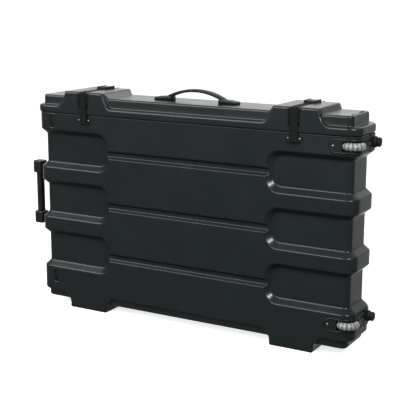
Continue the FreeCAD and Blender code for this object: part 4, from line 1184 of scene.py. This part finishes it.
def make_stage(stage):
    """Pale floor, studio light and the camera."""
    scene = bpy.context.scene
    scene.view_settings.view_transform = "Standard"
    make_camera(scene, stage)
    make_floor()
    make_sky(scene)
    for light in LIGHTS:
        softbox(*light)


# ------------------------------------------------------------------ operators


class Step:
    """What the operators share: each builds its pieces from the scene's settings."""

    def execute(self, context):
        self.build(context.scene)
        return {"FINISHED"}


class CASE_OT_materials(Step, bpy.types.Operator):
    """Make every finish"""

    bl_idname = "case.materials"
    bl_label = "Finishes"

    def build(self, scene):
        make_materials(scene.case_finish)


class CASE_OT_base(Step, bpy.types.Operator):
    """Make the moulded base"""

    bl_idname = "case.base"
    bl_label = "Base"

    def build(self, scene):
        make_base(scene.case_shell)
        # Also adds the painted-shade sheets that darken the hand slots.
        make_slot_shade_sheets()


class CASE_OT_lid(Step, bpy.types.Operator):
    """Make the moulded lid"""

    bl_idname = "case.lid"
    bl_label = "Lid"

    def build(self, scene):
        make_lid(scene.case_shell)


class CASE_OT_straps(Step, bpy.types.Operator):
    """Make the straps, their anchors and buckles"""

    bl_idname = "case.straps"
    bl_label = "Straps"

    def build(self, scene):
        for side in ("left", "right"):
            make_strap(side)
            softened(f"strap_anchors_{side}", 0.6, "base", "blackened", 2)
            softened(f"buckle_frame_{side}", 0.7, "lid", "blackened", 2)
            lever = f"buckle_lever_{side}"
            softened(lever, 0.8, lever, "blackened", 2)


class CASE_OT_handle(Step, bpy.types.Operator):
    """Make the carry handle on the lid"""

    bl_idname = "case.carry_handle"
    bl_label = "Carry handle"

    def build(self, scene):
        make_carry_grip(scene.case_shell)
        for side in ("left", "right"):
            make_handle_cap(side)


class CASE_OT_wheels(Step, bpy.types.Operator):
    """Make the corner wheels, their brackets and the bumper feet"""

    bl_idname = "case.wheels"
    bl_label = "Wheels and bumpers"

    def build(self, scene):
        for end in ("upper", "lower"):
            softened(f"wheel_bracket_{end}", 1.4, "base", "fitting", 2)
            make_tyre(end)
            make_plate_bead(end, scene.case_shell)
            softened(f"wheel_hub_{end}", 0.8, f"{end}_wheel", "hub", 2)
            softened(f"bumper_plate_{end}", 0.8, "base", "fitting", 2)
            softened(f"bumper_foot_{end}", 1.2, "base", "foot")


class CASE_OT_tow(Step, bpy.types.Operator):
    """Make the tow handle's grip and bezels"""

    bl_idname = "case.tow_handle"
    bl_label = "Tow handle"

    def build(self, scene):
        for end in ("upper", "lower"):
            softened(f"tow_block_{end}", 1.2, "tow_grip", "fitting")
            softened(f"tow_sleeve_{end}", 0.8, "base", "fitting", 2)
        softened("tow_grip_bar", 1.2, "tow_grip", "rubber")


class CASE_OT_linings(Step, bpy.types.Operator):
    """Make the foam linings"""

    bl_idname = "case.linings"
    bl_label = "Foam linings"

    def build(self, scene):
        for part in ("bottom", "rear", "front", "end_right", "end_left"):
            make_lining(f"foam_{part}", "base")
        make_lining("foam_lid", "lid")


class CASE_OT_screws(Step, bpy.types.Operator):
    """Make the screws"""

    bl_idname = "case.screws"
    bl_label = "Screws"

    def build(self, scene):
        for node, body, radius in (
                ("strap_anchor_screws", "base", 4.0), ("wheel_bracket_screws", "base", 4.2),
                ("bumper_screws", "base", 5.0), ("carry_handle_screws", "lid", 4.6)):
            make_screws(node, body, radius * MM)


CARRIED = {
    "zinc": ("wheel_bearings_upper", "wheel_bearings_lower", "wheel_axle_upper", "wheel_axle_lower",
             "buckle_pin_left", "buckle_pin_right", "carry_handle_backing_plates"),
    "seal": ("lid_gasket",),
    "tube": ("tow_middle_tubes", "tow_grip_tubes"),
}


class CASE_OT_carried(Step, bpy.types.Operator):
    """Give the frame's own nodes their finishes"""

    bl_idname = "case.carried"
    bl_label = "Carried nodes"

    def build(self, scene):
        for finish, carried in CARRIED.items():
            for node in carried:
                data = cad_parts[node].data
                data.materials.clear()
                data.materials.append(MATERIALS[finish])


class CASE_OT_stage(Step, bpy.types.Operator):
    """Make the floor, the lights and the camera"""

    bl_idname = "case.stage"
    bl_label = "Stage"

    def build(self, scene):
        make_stage(scene.case_stage)


OPERATORS = (
    CASE_OT_materials, CASE_OT_base, CASE_OT_lid, CASE_OT_straps, CASE_OT_handle, CASE_OT_wheels,
    CASE_OT_tow, CASE_OT_linings, CASE_OT_screws, CASE_OT_carried, CASE_OT_stage,
)


class CASE_PT_panel(bpy.types.Panel):
    """The case's steps, in the order that they run."""

    bl_label = "Transport case"
    bl_idname = "CASE_PT_panel"
    bl_space_type = "VIEW_3D"
    bl_region_type = "UI"
    bl_category = "Case"

    def draw(self, context):
        for step in OPERATORS:
            self.layout.operator(step.bl_idname)
        for group in ("case_shell", "case_finish", "case_stage"):
            settings = getattr(context.scene, group)
            for name in settings.__annotations__:
                self.layout.prop(settings, name)


SETTINGS = {"case_shell": CaseShell, "case_finish": CaseFinish, "case_stage": CaseStage}


def register():
    for made in (*SETTINGS.values(), *OPERATORS, CASE_PT_panel):
        bpy.utils.register_class(made)
    for name, kind in SETTINGS.items():
        setattr(bpy.types.Scene, name, bpy.props.PointerProperty(type=kind))


def unregister():
    for name in SETTINGS:
        delattr(bpy.types.Scene, name)
    for made in (CASE_PT_panel, *reversed(OPERATORS), *SETTINGS.values()):
        bpy.utils.unregister_class(made)


def main():
    register()
    for step in OPERATORS:
        group, name = step.bl_idname.split(".")
        getattr(getattr(bpy.ops, group), name)()


if __name__ == "__main__":
    main()
